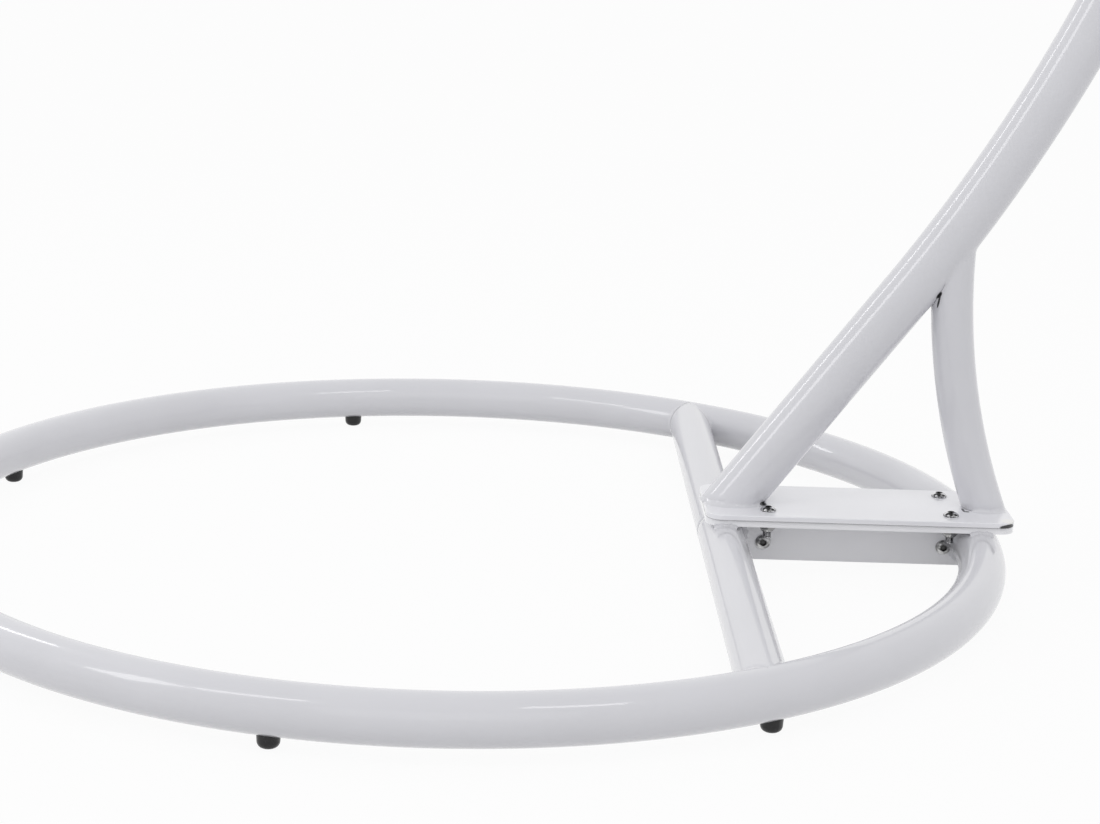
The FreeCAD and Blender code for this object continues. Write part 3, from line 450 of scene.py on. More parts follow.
def moulded(name, colour, rough, peel_scale, depth):
    """Rubber or plastic: the coat's grain, coarser, on a plain colour."""
    made, tree, shader = material(name)
    place = node(tree, "TexCoord").outputs["Object"]
    grain = place_group(tree, coat_grain, Place=place, Peel_Scale=peel_scale, Rough=rough)
    tree.links.new(shaded(tree, colour, grain["Shade"]), shader.inputs["Base Color"])
    tree.links.new(grain["Roughness"], shader.inputs["Roughness"])
    raised(tree, grain["Height"], depth, shader)
    shader.inputs["Specular IOR Level"].default_value = MOULDED_SPECULAR
    return made


bright_steel = steel("bright_steel", (0.46, 0.46, 0.48, 1.0), rough=0.20, stretch=(900, 900, 60),
                     coat_weight=0.3, darkest=0.5, brightest=1.4)
zinc_steel = steel("zinc_steel", (0.42, 0.42, 0.42, 1.0), rough=0.36, stretch=(500, 500, 500),
                   coat_weight=0.1, darkest=0.5, brightest=1.4)
bright_bolt = steel("bright_bolt", (0.40, 0.40, 0.41, 1.0), rough=0.12, stretch=(700, 700, 700),
                    coat_weight=0.2, darkest=0.08, brightest=1.9)
black_rubber = moulded("black_rubber", (0.012, 0.012, 0.013, 1.0), rough=0.28, peel_scale=700.0, depth=0.00004)
white_plastic = moulded("white_plastic", (0.74, 0.74, 0.75, 1.0), rough=0.36, peel_scale=420.0, depth=0.00003)

FINISHES = {
    "front_half_ring": ring_coat, "back_half_ring": ring_coat, "foot_plate": plate_coat,
    "front_angle_bracket": angle_coat, "back_angle_bracket": angle_coat,
    "lower_post": post_coat, "middle_post": joint_coat, "upper_bow": joint_coat, "brace_tube": brace_coat,
    "rubber_feet": black_rubber, "bow_end_cap": white_plastic,
    **dict.fromkeys(("web_bolts", "web_nuts", "plate_bolts", "plate_nuts", "sleeve_bolts", "sleeve_cap_nuts",
                     "ring_sleeve_screws", "lower_sleeve", "upper_sleeve", "ring_sleeve", "thrust_washer"),
                    zinc_steel),
    **dict.fromkeys(("swivel_clevis", "clevis_pin", "clevis_pin_ring", "swivel_eye", "snap_hook", "snap_gate",
                     "gate_pin"), bright_steel),
}
for name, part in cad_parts.items():
    part.data.materials.clear()
    part.data.materials.append(FINISHES.get(name, white_coat))
plain = set(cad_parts) - set(FINISHES)
print("finished nodes:", len(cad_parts), "of which plain white coat:", len(plain))

# %% [markdown]
# ## A surface from a grid of points
#
# Every new piece is a grid: rows along it, columns around it. Rows or columns that close on themselves are
# joined, and rows that shrink to a point are merged, so that each piece is one closed skin.

# %% Grid helper
MERGE_DISTANCE = 1e-6


def skin(name, grids, finish, rows_close=False, crease=180, painted_shade=None):
    """One object from grids of points (rows, columns, 3); columns always close, rows where asked.

    Edges sharper than the crease, in degrees, stay sharp. The last argument is each row's share of painted shade, as
    down in a bolt's socket."""
    corners, faces, count = [], [], 0
    for grid in grids:
        rows, columns = grid.shape[:2]
        index = np.arange(rows * columns).reshape(rows, columns) + count
        if rows_close:
            index = np.vstack([index, index[:1]])
        index = np.hstack([index, index[:, :1]])
        quads = np.stack([index[:-1, :-1], index[:-1, 1:], index[1:, 1:], index[1:, :-1]], axis=-1)
        corners.append(grid.reshape(-1, 3))
        faces.append(quads.reshape(-1, 4))
        count += rows * columns
    mesh = bpy.data.meshes.new(name)
    mesh.from_pydata(np.concatenate(corners).tolist(), [], np.concatenate(faces).tolist())
    if painted_shade is not None:
        dark = np.tile(np.repeat(painted_shade, grids[0].shape[1]), len(grids))
        mesh.attributes.new("painted_shade", "FLOAT", "POINT").data.foreach_set("value", dark.astype(np.float32))
    shape = bmesh.new()
    shape.from_mesh(mesh)
    bmesh.ops.remove_doubles(shape, verts=shape.verts, dist=MERGE_DISTANCE)
    bmesh.ops.recalc_face_normals(shape, faces=shape.faces)
    shape.to_mesh(mesh)
    shape.free()
    mesh.shade_smooth()
    mesh.set_sharp_from_angle(angle=np.radians(crease))
    mesh.materials.append(finish)
    piece = bpy.data.objects.new(name, mesh)
    bpy.context.scene.collection.objects.link(piece)
    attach(piece, "stand")
    print(name, len(mesh.polygons), "faces")
    return piece


# %% [markdown]
# ## Tubes
#
# The ring, the cross bar, the post and the brace are bent tubes. The CAD model's triangles are uneven where
# holes and cuts cross a tube, and gloss paint shows that as patches. So each tube is drawn once more: a circle
# carried along the tube's middle line, outside and inside, with the same cuts at its ends. A tube's end is
# rounded a little, so that two ends that meet leave a real groove.

# %% Tube helper
RING_RADIUS, TUBE_RADIUS, TUBE_WALL, RING_Z = 0.4875, 0.021, 0.0025, 0.031
BAR_X, WEB_FACE, WEB_START, LEG_EDGE, LEG_UNDER = 0.2525, 0.006, 0.243, 0.050, 0.052
ROUND_END, HALF_SPLIT, TUBE_COLUMNS, TUBE_CREASE = 0.0006, 0.0004, 72, 50
# steps along a bar or the post in metres, and along the ring and the brace in radians
STEP, RING_STEP, BRACE_STEP = 0.010, 0.014, 0.016
tube_turn = 2 * np.pi * np.arange(TUBE_COLUMNS) / TUBE_COLUMNS


def pipe(line, square, radius, wall, first, last, step):
    """Outside and inside of a bent tube: at each run along its line, the line's outward direction times the
    cosine plus the direction square to the bend times the sine. First and last run may differ with the angle."""
    sheets = []
    for size in (radius, radius - wall):
        start, end = (cut(tube_turn, size) + 0 * tube_turn for cut in (first, last))
        count = int(np.max(np.abs(end - start)) / step) + 2
        share = np.linspace(0, 1, count)[:, None]
        run = np.concatenate([start[None], start + (end - start) * share, end[None]])
        ease = np.sign(end - start) * ROUND_END * (step / STEP)
        run[1], run[-2] = start + ease, end - ease
        width = np.full((len(run), 1, 1), size)
        width[[0, -1]] -= ROUND_END if size == radius else 0
        middle, outward = line(run)
        ring = outward * np.cos(tube_turn)[:, None] + np.asarray(square) * np.sin(tube_turn)[:, None]
        sheets.append(middle + width * ring)
    return np.concatenate([sheets[0], sheets[1][::-1]])


# %% Ring and cross bar
def ring_line(side):
    """The ring's middle line by the angle from its near end."""
    def line(angle):
        outward = np.stack([np.cos(angle), side * np.sin(angle), 0 * angle], axis=-1)
        return RING_RADIUS * outward + (0, 0, RING_Z), outward
    return line


def bar_line(side):
    """The bar's middle line by the distance from the split."""
    def line(reach):
        middle = np.stack([BAR_X + 0 * reach, side * reach, RING_Z + 0 * reach], axis=-1)
        return middle, np.array([1.0, 0.0, 0.0])
    return line


def bar_start(angle, size):
    """Where a half bar starts: on the web's face, or close to the split where the web has ended."""
    return np.where(BAR_X + size * np.cos(angle) < WEB_START, HALF_SPLIT, WEB_FACE)


def bar_reach(angle, size=TUBE_RADIUS):
    """Where the bar meets the ring's inner face: the face lies the ring's radius less the tube's half width at
    that height from the middle, and the bar's own distance from the middle is taken off by Pythagoras."""
    face = RING_RADIUS - np.sqrt(TUBE_RADIUS ** 2 - (size * np.sin(angle)) ** 2)
    return np.sqrt(face ** 2 - (BAR_X + size * np.cos(angle)) ** 2)


for name, side in (("front", -1), ("back", 1)):
    half_ring = pipe(ring_line(side), (0, 0, 1), TUBE_RADIUS, TUBE_WALL,
                     lambda angle, size: np.arcsin(WEB_FACE / (RING_RADIUS + size * np.cos(angle))),
                     lambda angle, size: np.pi, RING_STEP)
    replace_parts(skin(f"{name}_ring_tube", [half_ring], ring_coat, rows_close=True, crease=TUBE_CREASE),
                f"{name}_half_ring")
    half_bar = pipe(bar_line(side), (0, 0, 1), TUBE_RADIUS, TUBE_WALL, bar_start, bar_reach, STEP)
    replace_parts(skin(f"{name}_bar_tube", [half_bar], white_coat, rows_close=True, crease=TUBE_CREASE),
                f"{name}_cross_tube")

# %% Post
PLATE_TOP, POST_RADIUS, POST_WALL, POST_FOOT_X = 0.063, 0.024, 0.0015, 0.2625
POST_STRAIGHT, POST_BEND, MIDDLE_BEND, UPPER_STRAIGHT, BOW_BEND, TIP = 0.243, 1.505, 0.950, 0.180, 0.540, 0.076
# the post's lean, in degrees, at the lower joint and at the ends of its lower and middle bend
JOINT_LEAN, LEAD_END, MIDDLE_END = 70, 73.4263, 100
LEAD_TURN, MIDDLE_TURN, BOW_TURN = np.radians(LEAD_END) - POST_LEAN, np.radians(MIDDLE_END - LEAD_END), np.radians(88)
# the length and the bend, one over the radius, of each run
POST_RUNS = ((POST_STRAIGHT, 0), (POST_BEND * LEAD_TURN, 1 / POST_BEND),
             (MIDDLE_BEND * MIDDLE_TURN, 1 / MIDDLE_BEND), (UPPER_STRAIGHT, 0),
             (BOW_BEND * BOW_TURN, 1 / BOW_BEND), (TIP, 0))
LOWER_JOINT = POST_STRAIGHT + POST_BEND * (np.radians(JOINT_LEAN) - POST_LEAN)
UPPER_JOINT = sum(length for length, _ in POST_RUNS[:3]) + UPPER_STRAIGHT / 2
POST_END = sum(length for length, _ in POST_RUNS)


def post_line(run):
    """The post's middle line by the run from its foot: straights add their length along the lean, and bends
    add their radius times the change of the lean's sine and cosine."""
    lean, x, z, passed = POST_LEAN + 0 * run, POST_FOOT_X + 0 * run, PLATE_TOP + 0 * run, 0.0
    for length, bend in POST_RUNS:
        part = np.clip(run - passed, 0 if passed else None, length)
        turned_to = lean + bend * part
        x = x + ((np.sin(turned_to) - np.sin(lean)) / bend if bend else part * np.cos(lean))
        z = z + ((np.cos(lean) - np.cos(turned_to)) / bend if bend else part * np.sin(lean))
        lean, passed = turned_to, passed + length
    return np.stack([x, 0 * x, z], axis=-1), np.stack([np.sin(lean), 0 * lean, -np.cos(lean)], axis=-1)


POST_CUTS = {
    "lower_post": (lambda angle, size: size * np.cos(angle) / np.tan(POST_LEAN),
                   lambda angle, size: LOWER_JOINT, post_coat),
    "middle_post": (lambda angle, size: LOWER_JOINT, lambda angle, size: UPPER_JOINT, joint_coat),
    "upper_bow": (lambda angle, size: UPPER_JOINT, lambda angle, size: POST_END, joint_coat),
}
for name, (first, last, finish) in POST_CUTS.items():
    tube = pipe(post_line, (0, 1, 0), POST_RADIUS, POST_WALL, first, last, STEP)
    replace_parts(skin(f"{name}_tube", [tube], finish, rows_close=True, crease=TUBE_CREASE), name)
print("post ends at", post_line(np.array(POST_END))[0].round(4))

# %% Brace
BRACE_RADIUS, BRACE_WALL, BRACE_FOOT_X, BRACE_LEAN, BRACE_BEND = 0.019, 0.0015, 0.4950, np.radians(111.9), 0.623
LEAST_CLIMB, MOST_CLIMB, CLIMB_TRIES = -0.05, 0.62, 3000


def brace_line(climb):
    """The brace's middle line by the angle climbed along its bow from the foot."""
    lean = BRACE_LEAN - climb
    inward = np.stack([-np.sin(lean), 0 * lean, np.cos(lean)], axis=-1)
    centre = np.array([BRACE_FOOT_X + BRACE_BEND * np.sin(BRACE_LEAN), 0,
                       PLATE_TOP - BRACE_BEND * np.cos(BRACE_LEAN)])
    return centre + BRACE_BEND * inward, inward


def on_brace(angle, climb, size=BRACE_RADIUS):
    """A point on the brace's skin."""
    middle, inward = brace_line(climb + 0 * angle)
    return middle + size * (inward * np.cos(angle)[..., None] + np.array([0, 1, 0]) * np.sin(angle)[..., None])


def off_post(point):
    """How far a point is from the post's middle line: from its straight, or past it from its curve."""
    line = np.array([np.cos(POST_LEAN), np.sin(POST_LEAN)])
    square = np.array([line[1], -line[0]])
    flat = point[..., (0, 2)] - np.array([POST_FOOT_X, PLATE_TOP])
    curved = np.linalg.norm(flat - line * POST_STRAIGHT + square * POST_BEND, axis=-1) - POST_BEND
    return np.hypot(np.where(flat @ line < POST_STRAIGHT, flat @ square, curved), point[..., 1])


def first_climb(angle, size, met):
    """The first climb, from below, at which a point of the skin has met something."""
    climbs = np.linspace(LEAST_CLIMB, MOST_CLIMB, CLIMB_TRIES)
    return climbs[met(on_brace(angle[:, None] + 0 * climbs, climbs, size)).argmax(axis=1)]


def brace_foot(angle, size=BRACE_RADIUS):
    """The climb at which the brace leaves the plate."""
    return first_climb(angle, size, lambda point: point[..., 2] > PLATE_TOP)


def brace_head(angle, size=BRACE_RADIUS):
    """The climb at which the brace meets the post's skin."""
    return first_climb(angle, size, lambda point: off_post(point) < POST_RADIUS)


brace = pipe(brace_line, (0, 1, 0), BRACE_RADIUS, BRACE_WALL, brace_foot, brace_head, BRACE_STEP)
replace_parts(skin("brace_bow_tube", [brace], brace_coat, rows_close=True, crease=TUBE_CREASE),
            "brace_tube")

# %% [markdown]
# ## Welds
#
# The tubes are welded to each other, to the plate and to the angles, and the coat flows over the welds. A
# weld could be a round wire in the corner, but that leaves an edge on both sides. So it is a hollow fillet: a
# curve that leaves one part along its face and arrives along the other's, carried round the joint. A hand
# weld has overlapping scales and an uneven width, so the width swells once for each scale.

# %% Weld helpers
SCALE_PITCH, FILLET_COLUMNS, WELD_CREASE = 0.0046, 9, 60
SCALE_LOW, SCALE_SWELL, END_WIDTHS = 0.88, 0.14, 2.0
# the share, the count along the weld and the shift of each slow wave
SLOW_WAVES = ((0.09, 3, 0.7), (0.07, 7, 2.1), (0.05, 13, 0.0))
# the welds' widths, and how far a weld's edge lies inside a tube's skin
BAR_WELD, POST_WELD, BRACE_WELD, END_WELD, LEG_WELD, LUG_WELD = 0.0050, 0.0046, 0.0042, 0.0042, 0.0040, 0.0036
SUNK = 0.0001


def along_path(path, closed):
    """The run at each point of a path, and its whole length."""
    steps = np.linalg.norm(np.diff(path, axis=0, append=path[:1] if closed else path[-1:]), axis=1)
    return np.concatenate([[0], np.cumsum(steps)])[:len(path)], steps.sum()


def weld_width(path, width, closed=False):
    """The width times a root of sine for each scale, times slow waves, drawn in at open ends."""
    run, total = along_path(path, closed)
    pitch = total / max(round(total / SCALE_PITCH), 1)
    scales = SCALE_LOW + SCALE_SWELL * np.sqrt(np.abs(np.sin(np.pi * run / pitch)))
    turn = 2 * np.pi * run / total
    size = width * scales * sum((share * np.sin(count * turn + shift) for share, count, shift in SLOW_WAVES), 1)
    if not closed:
        from_end = np.clip(np.minimum(run, total - run) / (END_WIDTHS * width), 0, 1)
        size = size * np.sqrt(1 - (1 - from_end) ** 2)
    return size[:, None]


def heading(path, closed=False):
    """The path's direction at each point."""
    ahead = np.roll(path, -1, axis=0) - np.roll(path, 1, axis=0) if closed else np.gradient(path, axis=0)
    return ahead / np.linalg.norm(ahead, axis=1, keepdims=True)


def unit(vectors):
    """Vectors of length 1."""
    return vectors / np.linalg.norm(vectors, axis=-1, keepdims=True)


def fillet(corner, one_edge, other_edge):
    """At each corner point, (1-t) squared of one edge, 2t(1-t) of the corner and t squared of the other edge,
    and a point behind the corner that closes the strip."""
    t = np.linspace(0, 1, FILLET_COLUMNS)[None, :, None]
    curve = one_edge[:, None] * (1 - t) ** 2 + corner[:, None] * 2 * t * (1 - t) + other_edge[:, None] * t ** 2
    behind = corner - 0.2 * (one_edge + other_edge - 2 * corner)
    return np.concatenate([curve, behind[:, None]], axis=1)


def turns(first, last, step=0.0008, size=0.03, closed=False):
    """Angles from first to last in degrees, close enough for the scales on a circle of that size."""
    count = int(np.radians(abs(last - first)) * size / step)
    return np.radians(np.linspace(first, last, count, endpoint=not closed))


# %% Cross bar on the ring
def bar_weld(side):
    """Round the bar's end: one edge lies along the bar, the other on the ring, square to the joint and to the
    ring's own face. Where the two faces run into each other, over and under the bar, the width goes to none."""
    angle = turns(0, 360, size=0.026, closed=True)
    radial = np.stack([np.cos(angle), 0 * angle, np.sin(angle)], axis=1)
    joint = TUBE_RADIUS * radial + np.stack([BAR_X + 0 * angle, side * bar_reach(angle), RING_Z + 0 * angle], axis=1)

    def ring_face(point):
        core = RING_RADIUS * unit(point * (1, 1, 0)) + (0, 0, RING_Z)
        return unit(point - core), core

    face, _ = ring_face(joint)
    away = unit(np.cross(heading(joint, True), face))
    away *= np.sign((away * radial).sum(axis=1, keepdims=True))
    width = weld_width(joint, BAR_WELD, True) * np.linalg.norm(np.cross(face, radial), axis=1, keepdims=True)
    spread_to = joint + width * away
    face, core = ring_face(spread_to)
    return fillet(joint, joint - (0, side, 0) * width, core + (TUBE_RADIUS - SUNK) * face)


skin("bar_welds", [bar_weld(side) for side in (-1, 1)], white_coat, rows_close=True,
     crease=WELD_CREASE)

# %% Post and brace on the plate
PLATE_START, PLATE_END = 0.2350, 0.5160
NEAR_EDGE, EDGE_FALL, EDGE_INSET, OVER_EDGE = 0.002, 0.003, 0.0004, 0.0024


def foot_weld(centre, radius, lean, first, last, size):
    """Round a leaning tube's foot, a circle stretched along X by one over the sine of the lean. One edge lies up
    along the tube, and the other out on the plate, or down over the plate's end where it would pass that."""
    angle = turns(first, last, size=radius)
    joint = np.stack([centre + radius / np.sin(lean) * np.cos(angle), radius * np.sin(angle),
                      PLATE_TOP + 0 * angle], axis=1)
    width = weld_width(joint, size)
    outward = unit(np.stack([np.cos(angle) * np.sin(lean), np.sin(angle), 0 * angle], axis=1))
    edge = joint + width * outward
    past = np.maximum(PLATE_START + NEAR_EDGE - edge[:, 0], edge[:, 0] - PLATE_END + NEAR_EDGE)
    down = np.clip(past / EDGE_FALL, 0, 1) ** 2
    edge[:, 0] = np.clip(edge[:, 0], PLATE_START + EDGE_INSET, PLATE_END - EDGE_INSET)
    edge[:, 2] -= OVER_EDGE * down * np.clip(width[:, 0] / size, 0, 1)
    return fillet(joint, joint + width * (np.cos(lean), 0, np.sin(lean)), edge)


# painted shade where the welds leave gaps at the toes and under the legs
weld_coat = coat("white_coat_welds", [POST_TOE, BRACE_TOE, BRACE_HOOK, BAR_GAP, RING_GAP])
skin("foot_welds", [foot_weld(POST_FOOT_X, POST_RADIUS, POST_LEAN, 30, 330, POST_WELD),
                    foot_weld(BRACE_FOOT_X, BRACE_RADIUS, BRACE_LEAN, -130, 130, BRACE_WELD)],
     weld_coat, crease=WELD_CREASE)

# %% Brace on the post
def post_face(point):
    """The direction straight out of the post, from the change of the distance along each axis."""
    small = 1e-5
    changes = [off_post(point + small * axis) - off_post(point - small * axis) for axis in np.eye(3)]
    return unit(np.stack(changes, axis=-1))


def brace_weld():
    """Round the brace's head, but for the narrow corner under the post: one edge lies down along the brace, the
    other on the post, square to the joint."""
    angle = turns(58, 302, size=0.027)
    climb = brace_head(angle)
    joint = on_brace(angle, climb)
    width = weld_width(joint, BRACE_WELD)
    away = unit(np.cross(heading(joint), post_face(joint)))
    away *= np.sign((away * (joint - brace_line(climb)[0])).sum(axis=1, keepdims=True))
    edge = joint + width * away
    edge -= post_face(edge) * (off_post(edge) - POST_RADIUS + SUNK)[:, None]
    return fillet(joint, on_brace(angle, climb - width[:, 0] / BRACE_BEND), edge)


skin("brace_top_weld", [brace_weld()], weld_coat, crease=WELD_CREASE)

# %% Tube ends on the webs, and legs over the tubes
LEG_WELD_HALF, LEG_WELD_ROWS, LEG_RISE, LEG_OUT, FULL_RISE_WIDTH = 0.0110, 70, 0.6, 0.0004, 0.002


def end_weld(middle, side):
    """The inner side of a tube's end circle on the web's face: one edge along the tube, the other on the web."""
    angle = turns(-62, 38, size=TUBE_RADIUS) if middle == BAR_X else turns(-218, -118, size=TUBE_RADIUS)
    radial = np.stack([np.cos(angle), 0 * angle, np.sin(angle)], axis=1)
    joint = np.array([middle, side * WEB_FACE, RING_Z]) + TUBE_RADIUS * radial
    width = weld_width(joint, END_WELD)
    return fillet(joint, joint + width * (0, side, 0), joint + width * radial)


def inward_at(reach):
    """How far the ring has curved in at a distance from the split."""
    return RING_RADIUS - np.sqrt(RING_RADIUS ** 2 - reach ** 2)


def leg_weld(middle, side):
    """Along the leg's edge, over the top of a round tube that falls away to both sides: one edge up on the leg's
    edge, the other out along the tube."""
    across = np.linspace(-LEG_WELD_HALF, LEG_WELD_HALF, LEG_WELD_ROWS)
    fall = TUBE_RADIUS - np.sqrt(TUBE_RADIUS ** 2 - across ** 2)
    inward = inward_at(LEG_EDGE) if middle > BAR_X else 0.0
    joint = np.stack([middle - inward + across, side * LEG_EDGE + 0 * across, LEG_UNDER - fall], axis=1)
    width = weld_width(joint, LEG_WELD)
    rise = width * LEG_RISE + fall[:, None] * np.clip(width / FULL_RISE_WIDTH, 0, 1)
    up = joint + (0, 0, 1) * rise + (0, side * LEG_OUT, 0)
    out = joint + width * (0, side, 0)
    if middle > BAR_X:
        out[:, 0] -= inward_at(LEG_EDGE + width[:, 0]) - inward_at(LEG_EDGE)
    return fillet(joint, up, out - (0, 0, SUNK))


places = [(middle, side) for middle in (BAR_X, RING_RADIUS) for side in (-1, 1)]
skin("web_welds", [end_weld(middle, side) for middle, side in places], white_coat, crease=WELD_CREASE)
skin("leg_welds", [leg_weld(middle, side) for middle, side in places], weld_coat, crease=WELD_CREASE)

# %% Lug under the tip
HANG_X, HANG_Z, TIP_SLOPE = -0.01109, 1.77315, np.radians(8.0)
LUG_HALF, LUG_THICK = 0.0150, 0.0040


def lug_weld():
    """Round the lug, a flat bar: a circle squared up by raising its sine and cosine to a third, on the
    underside of the tip's sloping tube."""
    angle = turns(0, 360, size=0.016, closed=True)
    plan = np.stack([LUG_HALF * np.cbrt(np.cos(angle)), LUG_THICK * np.cbrt(np.sin(angle))], axis=1)
    outward = unit(np.stack([np.cos(angle) / LUG_HALF, np.sin(angle) / LUG_THICK], axis=1))

    def under(flat):
        half = np.sqrt(POST_RADIUS ** 2 - flat[:, 1] ** 2)
        height = HANG_Z + flat[:, 0] * np.tan(TIP_SLOPE) - half / np.cos(TIP_SLOPE)
        return np.stack([HANG_X + flat[:, 0], flat[:, 1], height], axis=1)

    joint = under(plan)
    width = weld_width(joint, LUG_WELD, True)
    return fillet(joint, joint - (0, 0, 1) * width, under(plan + width * outward) + (0, 0, SUNK))


skin("lug_weld", [lug_weld()], white_coat, rows_close=True, crease=WELD_CREASE)

# %% [markdown]
# ## Bolts and nuts
#
# The bracket is held by domed bolts with a hexagon socket and by lock nuts with a round collar. A plain
# cylinder has no thread to catch the light, so each bolt is turned as on a lathe: rows of radius and height,
# where the socket's rows are hexagons and the thread's rows swell and shrink with height and angle.

# %% Turned shapes
COLUMNS, BOLT_CREASE = 48, 38
around = 2 * np.pi * np.arange(COLUMNS) / COLUMNS
BOLT_RADIUS, THREADED, THREAD_PITCH, THREAD_DEPTH, PITCH_ROWS = 0.0040, 0.0076, 0.00125, 0.00062, 10
HEAD_RADIUS, HEAD_HEIGHT, HEAD_RIM, DOME_ROWS = 0.0070, 0.0044, 0.0012, 14
SOCKET_FLATS, SOCKET_CORNER, SOCKET_DEPTH = 0.0050, 0.0029, 0.0026
NUT_FLATS, NUT_BORE, CAP_RADIUS, CAP_MIDDLE = 0.0130, 0.00402, 0.0065, -0.0045
# how dark the painted shade is on each row of the socket, and on those round its rim
SOCKET_SHADE = (0.7, 0.9, 1, 1, 0.8, 0.45, 0.2)
DOME_RADIUS = (HEAD_RADIUS ** 2 + (HEAD_HEIGHT - HEAD_RIM) ** 2) / (2 * (HEAD_HEIGHT - HEAD_RIM))


def hexagon(flats):
    """Distance from the middle to a hexagon's side: half the flats over the cosine of the angle to the
    nearest side's middle."""
    return flats / 2 / np.cos((around + np.pi / 6) % (np.pi / 3) - np.pi / 6)


def turned(radius, height):
    """Rows of a radius and a height, each a number or one for each column, carried round the Z axis."""
    rows = max(len(radius), len(height))
    radius = np.broadcast_to(np.asarray(radius).reshape(rows, -1), (rows, COLUMNS))
    height = np.broadcast_to(np.asarray(height).reshape(rows, -1), (rows, COLUMNS))
    return np.stack([radius * np.cos(around), radius * np.sin(around), height], axis=-1)


def dome(radius):
    """Height of the head's ball-shaped top at a distance from its middle."""
    return HEAD_HEIGHT - DOME_RADIUS + np.sqrt(DOME_RADIUS ** 2 - radius ** 2)


def thread(top, end):
    """A thread between two heights: the radius follows a wave of height over pitch plus angle over a turn."""
    height = np.linspace(top, end, int((top - end) / THREAD_PITCH * PITCH_ROWS))[:, None]
    wave = np.abs(2 * ((height / THREAD_PITCH + around / (2 * np.pi)) % 1) - 1)
    runout = np.clip(np.minimum((top - height) / THREAD_PITCH, (height - end) / THREAD_PITCH), 0, 1)
    radius = BOLT_RADIUS - THREAD_DEPTH * np.clip(1.25 * wave - 0.1, 0, 1) * runout
    return turned(radius, height)


def bolt(length):
    """A domed bolt, head up on the XY plane: socket, dome, rim, shank, thread and chamfered end."""
    socket = hexagon(SOCKET_FLATS)
    widths = np.linspace(0, 1, DOME_ROWS)[:, None] ** 0.8
    top = socket * 1.10 * (1 - widths) + (HEAD_RADIUS - 0.0001) * widths
    pit_floor, pit_lip = HEAD_HEIGHT - SOCKET_DEPTH, dome(SOCKET_CORNER) - 0.0003
    return np.concatenate([
        turned([0 * socket, socket * 0.97, socket, socket * 1.02],
               [pit_floor, pit_floor, pit_floor + 0.0002, pit_lip]),
        turned(top, dome(top)),
        turned([HEAD_RADIUS, HEAD_RADIUS, HEAD_RADIUS - 0.0003, BOLT_RADIUS, BOLT_RADIUS],
               [HEAD_RIM - 0.0002, 0.0003, 0, 0, THREADED - length]),
        thread(THREADED - length, 0.0007 - length),
        turned([BOLT_RADIUS - 0.0002, BOLT_RADIUS - 0.0010, 0], [0.0006 - length, -length, -length])])


def lock_nut():
    """A hexagon whose ends are cut by a cone, and a round collar below; seat on the XY plane, body down."""
    flats = hexagon(NUT_FLATS)
    heights = np.array([0, -0.0003, -0.0006, -0.0009, -0.0054, -0.0057, -0.0060, -0.0063])
    cone = np.array([0.0064, 0.0068, 0.0072, 0.0076, 0.0076, 0.0072, 0.0068, 0.0064])
    return np.concatenate([
        turned([NUT_BORE, 0.0060], [0, 0]),
        turned(np.minimum(flats, cone[:, None]), heights),
        turned([0.0059, 0.0058, 0.0057, 0.0052, NUT_BORE], [-0.0064, -0.0070, -0.0076, -0.0080, -0.0080])])


def cap_nut():
    """A hexagon under a ball-shaped cap; seat on the XY plane, body down."""
    flats = hexagon(NUT_FLATS)
    heights = np.array([0, -0.0004, -0.0008, -0.0056, -0.0060, -0.0064])
    cone = np.array([0.0065, 0.0071, 0.0076, 0.0076, 0.0070, 0.0064])
    rise = np.linspace(np.radians(18), np.pi / 2, 9)
    return np.concatenate([
        turned([0, 0.0060], [0, 0]), turned(np.minimum(flats, cone[:, None]), heights),
        turned(CAP_RADIUS * np.cos(rise), CAP_MIDDLE - CAP_RADIUS * np.sin(rise))])


def to_front(grid):
    """Turned so that what pointed up points to the front."""
    return np.stack([grid[..., 0], -grid[..., 2], grid[..., 1]], axis=-1)


def copies(grid, places):
    """The grid at each place."""
    return [grid + np.asarray(place) for place in places]


def bolt_socket_shade(grid):
    """Painted shade of a bolt's rows: all of it down in the socket, fading over its rim."""
    rows = np.zeros(len(grid))
    rows[:len(SOCKET_SHADE)] = SOCKET_SHADE
    return rows


print("thread turns on a bracket bolt:", round(THREADED / THREAD_PITCH, 1))

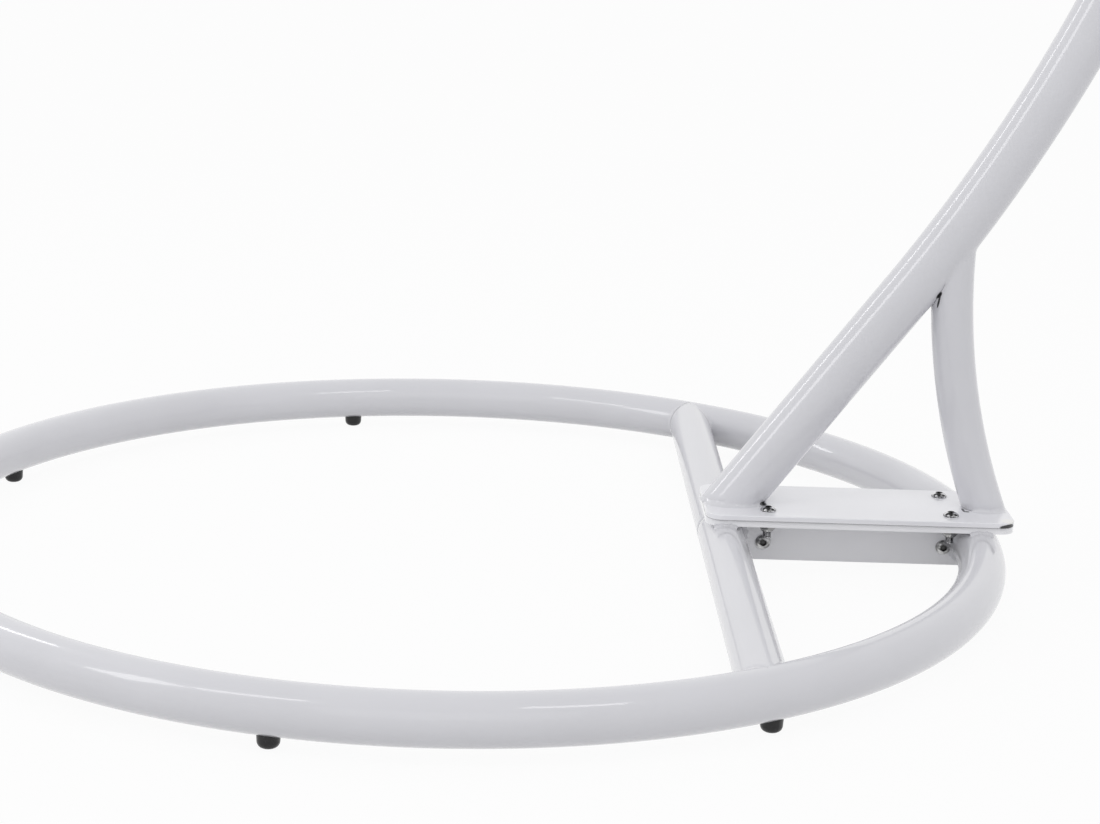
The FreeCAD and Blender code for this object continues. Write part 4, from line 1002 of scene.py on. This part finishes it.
# %% Bolts and nuts in place
BOLT_X, BOLT_Y, WEB_BOLT_Z = (0.2920, 0.4594), 0.032, 0.025
PLATE_BOLT, WEB_BOLT, JOINT_BOLT, JOINT_BOLT_REACH = 0.026, 0.027, 0.050, 0.038
plate_places = [(x, side * BOLT_Y) for x in BOLT_X for side in (-1, 1)]
plate_bolt, web_bolt, joint_bolt = bolt(PLATE_BOLT), to_front(bolt(WEB_BOLT)), to_front(bolt(JOINT_BOLT))
plate_bolt_piece = skin("plate_bolt_set", copies(plate_bolt, [(*p, PLATE_TOP) for p in plate_places]),
                        bright_bolt, crease=BOLT_CREASE, painted_shade=bolt_socket_shade(plate_bolt))
plate_nut_piece = skin("plate_nut_set", copies(lock_nut(), [(*p, LEG_UNDER) for p in plate_places]),
                       zinc_steel, rows_close=True, crease=BOLT_CREASE)
web_bolt_piece = skin("web_bolt_set", copies(web_bolt, [(x, -WEB_FACE, WEB_BOLT_Z) for x in BOLT_X]),
                      zinc_steel, crease=BOLT_CREASE, painted_shade=bolt_socket_shade(web_bolt))
web_nut_piece = skin("web_nut_set", copies(to_front(lock_nut()), [(x, WEB_FACE, WEB_BOLT_Z) for x in BOLT_X]),
                     zinc_steel, rows_close=True, crease=BOLT_CREASE)

joint_runs = np.array([joint + way * JOINT_BOLT_REACH for joint in (LOWER_JOINT, UPPER_JOINT) for way in (-1, 1)])
joint_places = post_line(joint_runs)[0]
joint_bolt_piece = skin("joint_bolt_set", copies(joint_bolt, joint_places - (0, POST_RADIUS, 0)),
                        zinc_steel, crease=BOLT_CREASE, painted_shade=bolt_socket_shade(joint_bolt))
joint_nut_piece = skin("joint_cap_nut_set", copies(to_front(cap_nut()), joint_places + (0, POST_RADIUS, 0)),
                       zinc_steel, crease=BOLT_CREASE)
for piece, replaced in ((plate_bolt_piece, "plate_bolts"), (plate_nut_piece, "plate_nuts"),
                        (web_bolt_piece, "web_bolts"), (web_nut_piece, "web_nuts"),
                        (joint_bolt_piece, "sleeve_bolts"), (joint_nut_piece, "sleeve_cap_nuts")):
    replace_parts(piece, replaced)
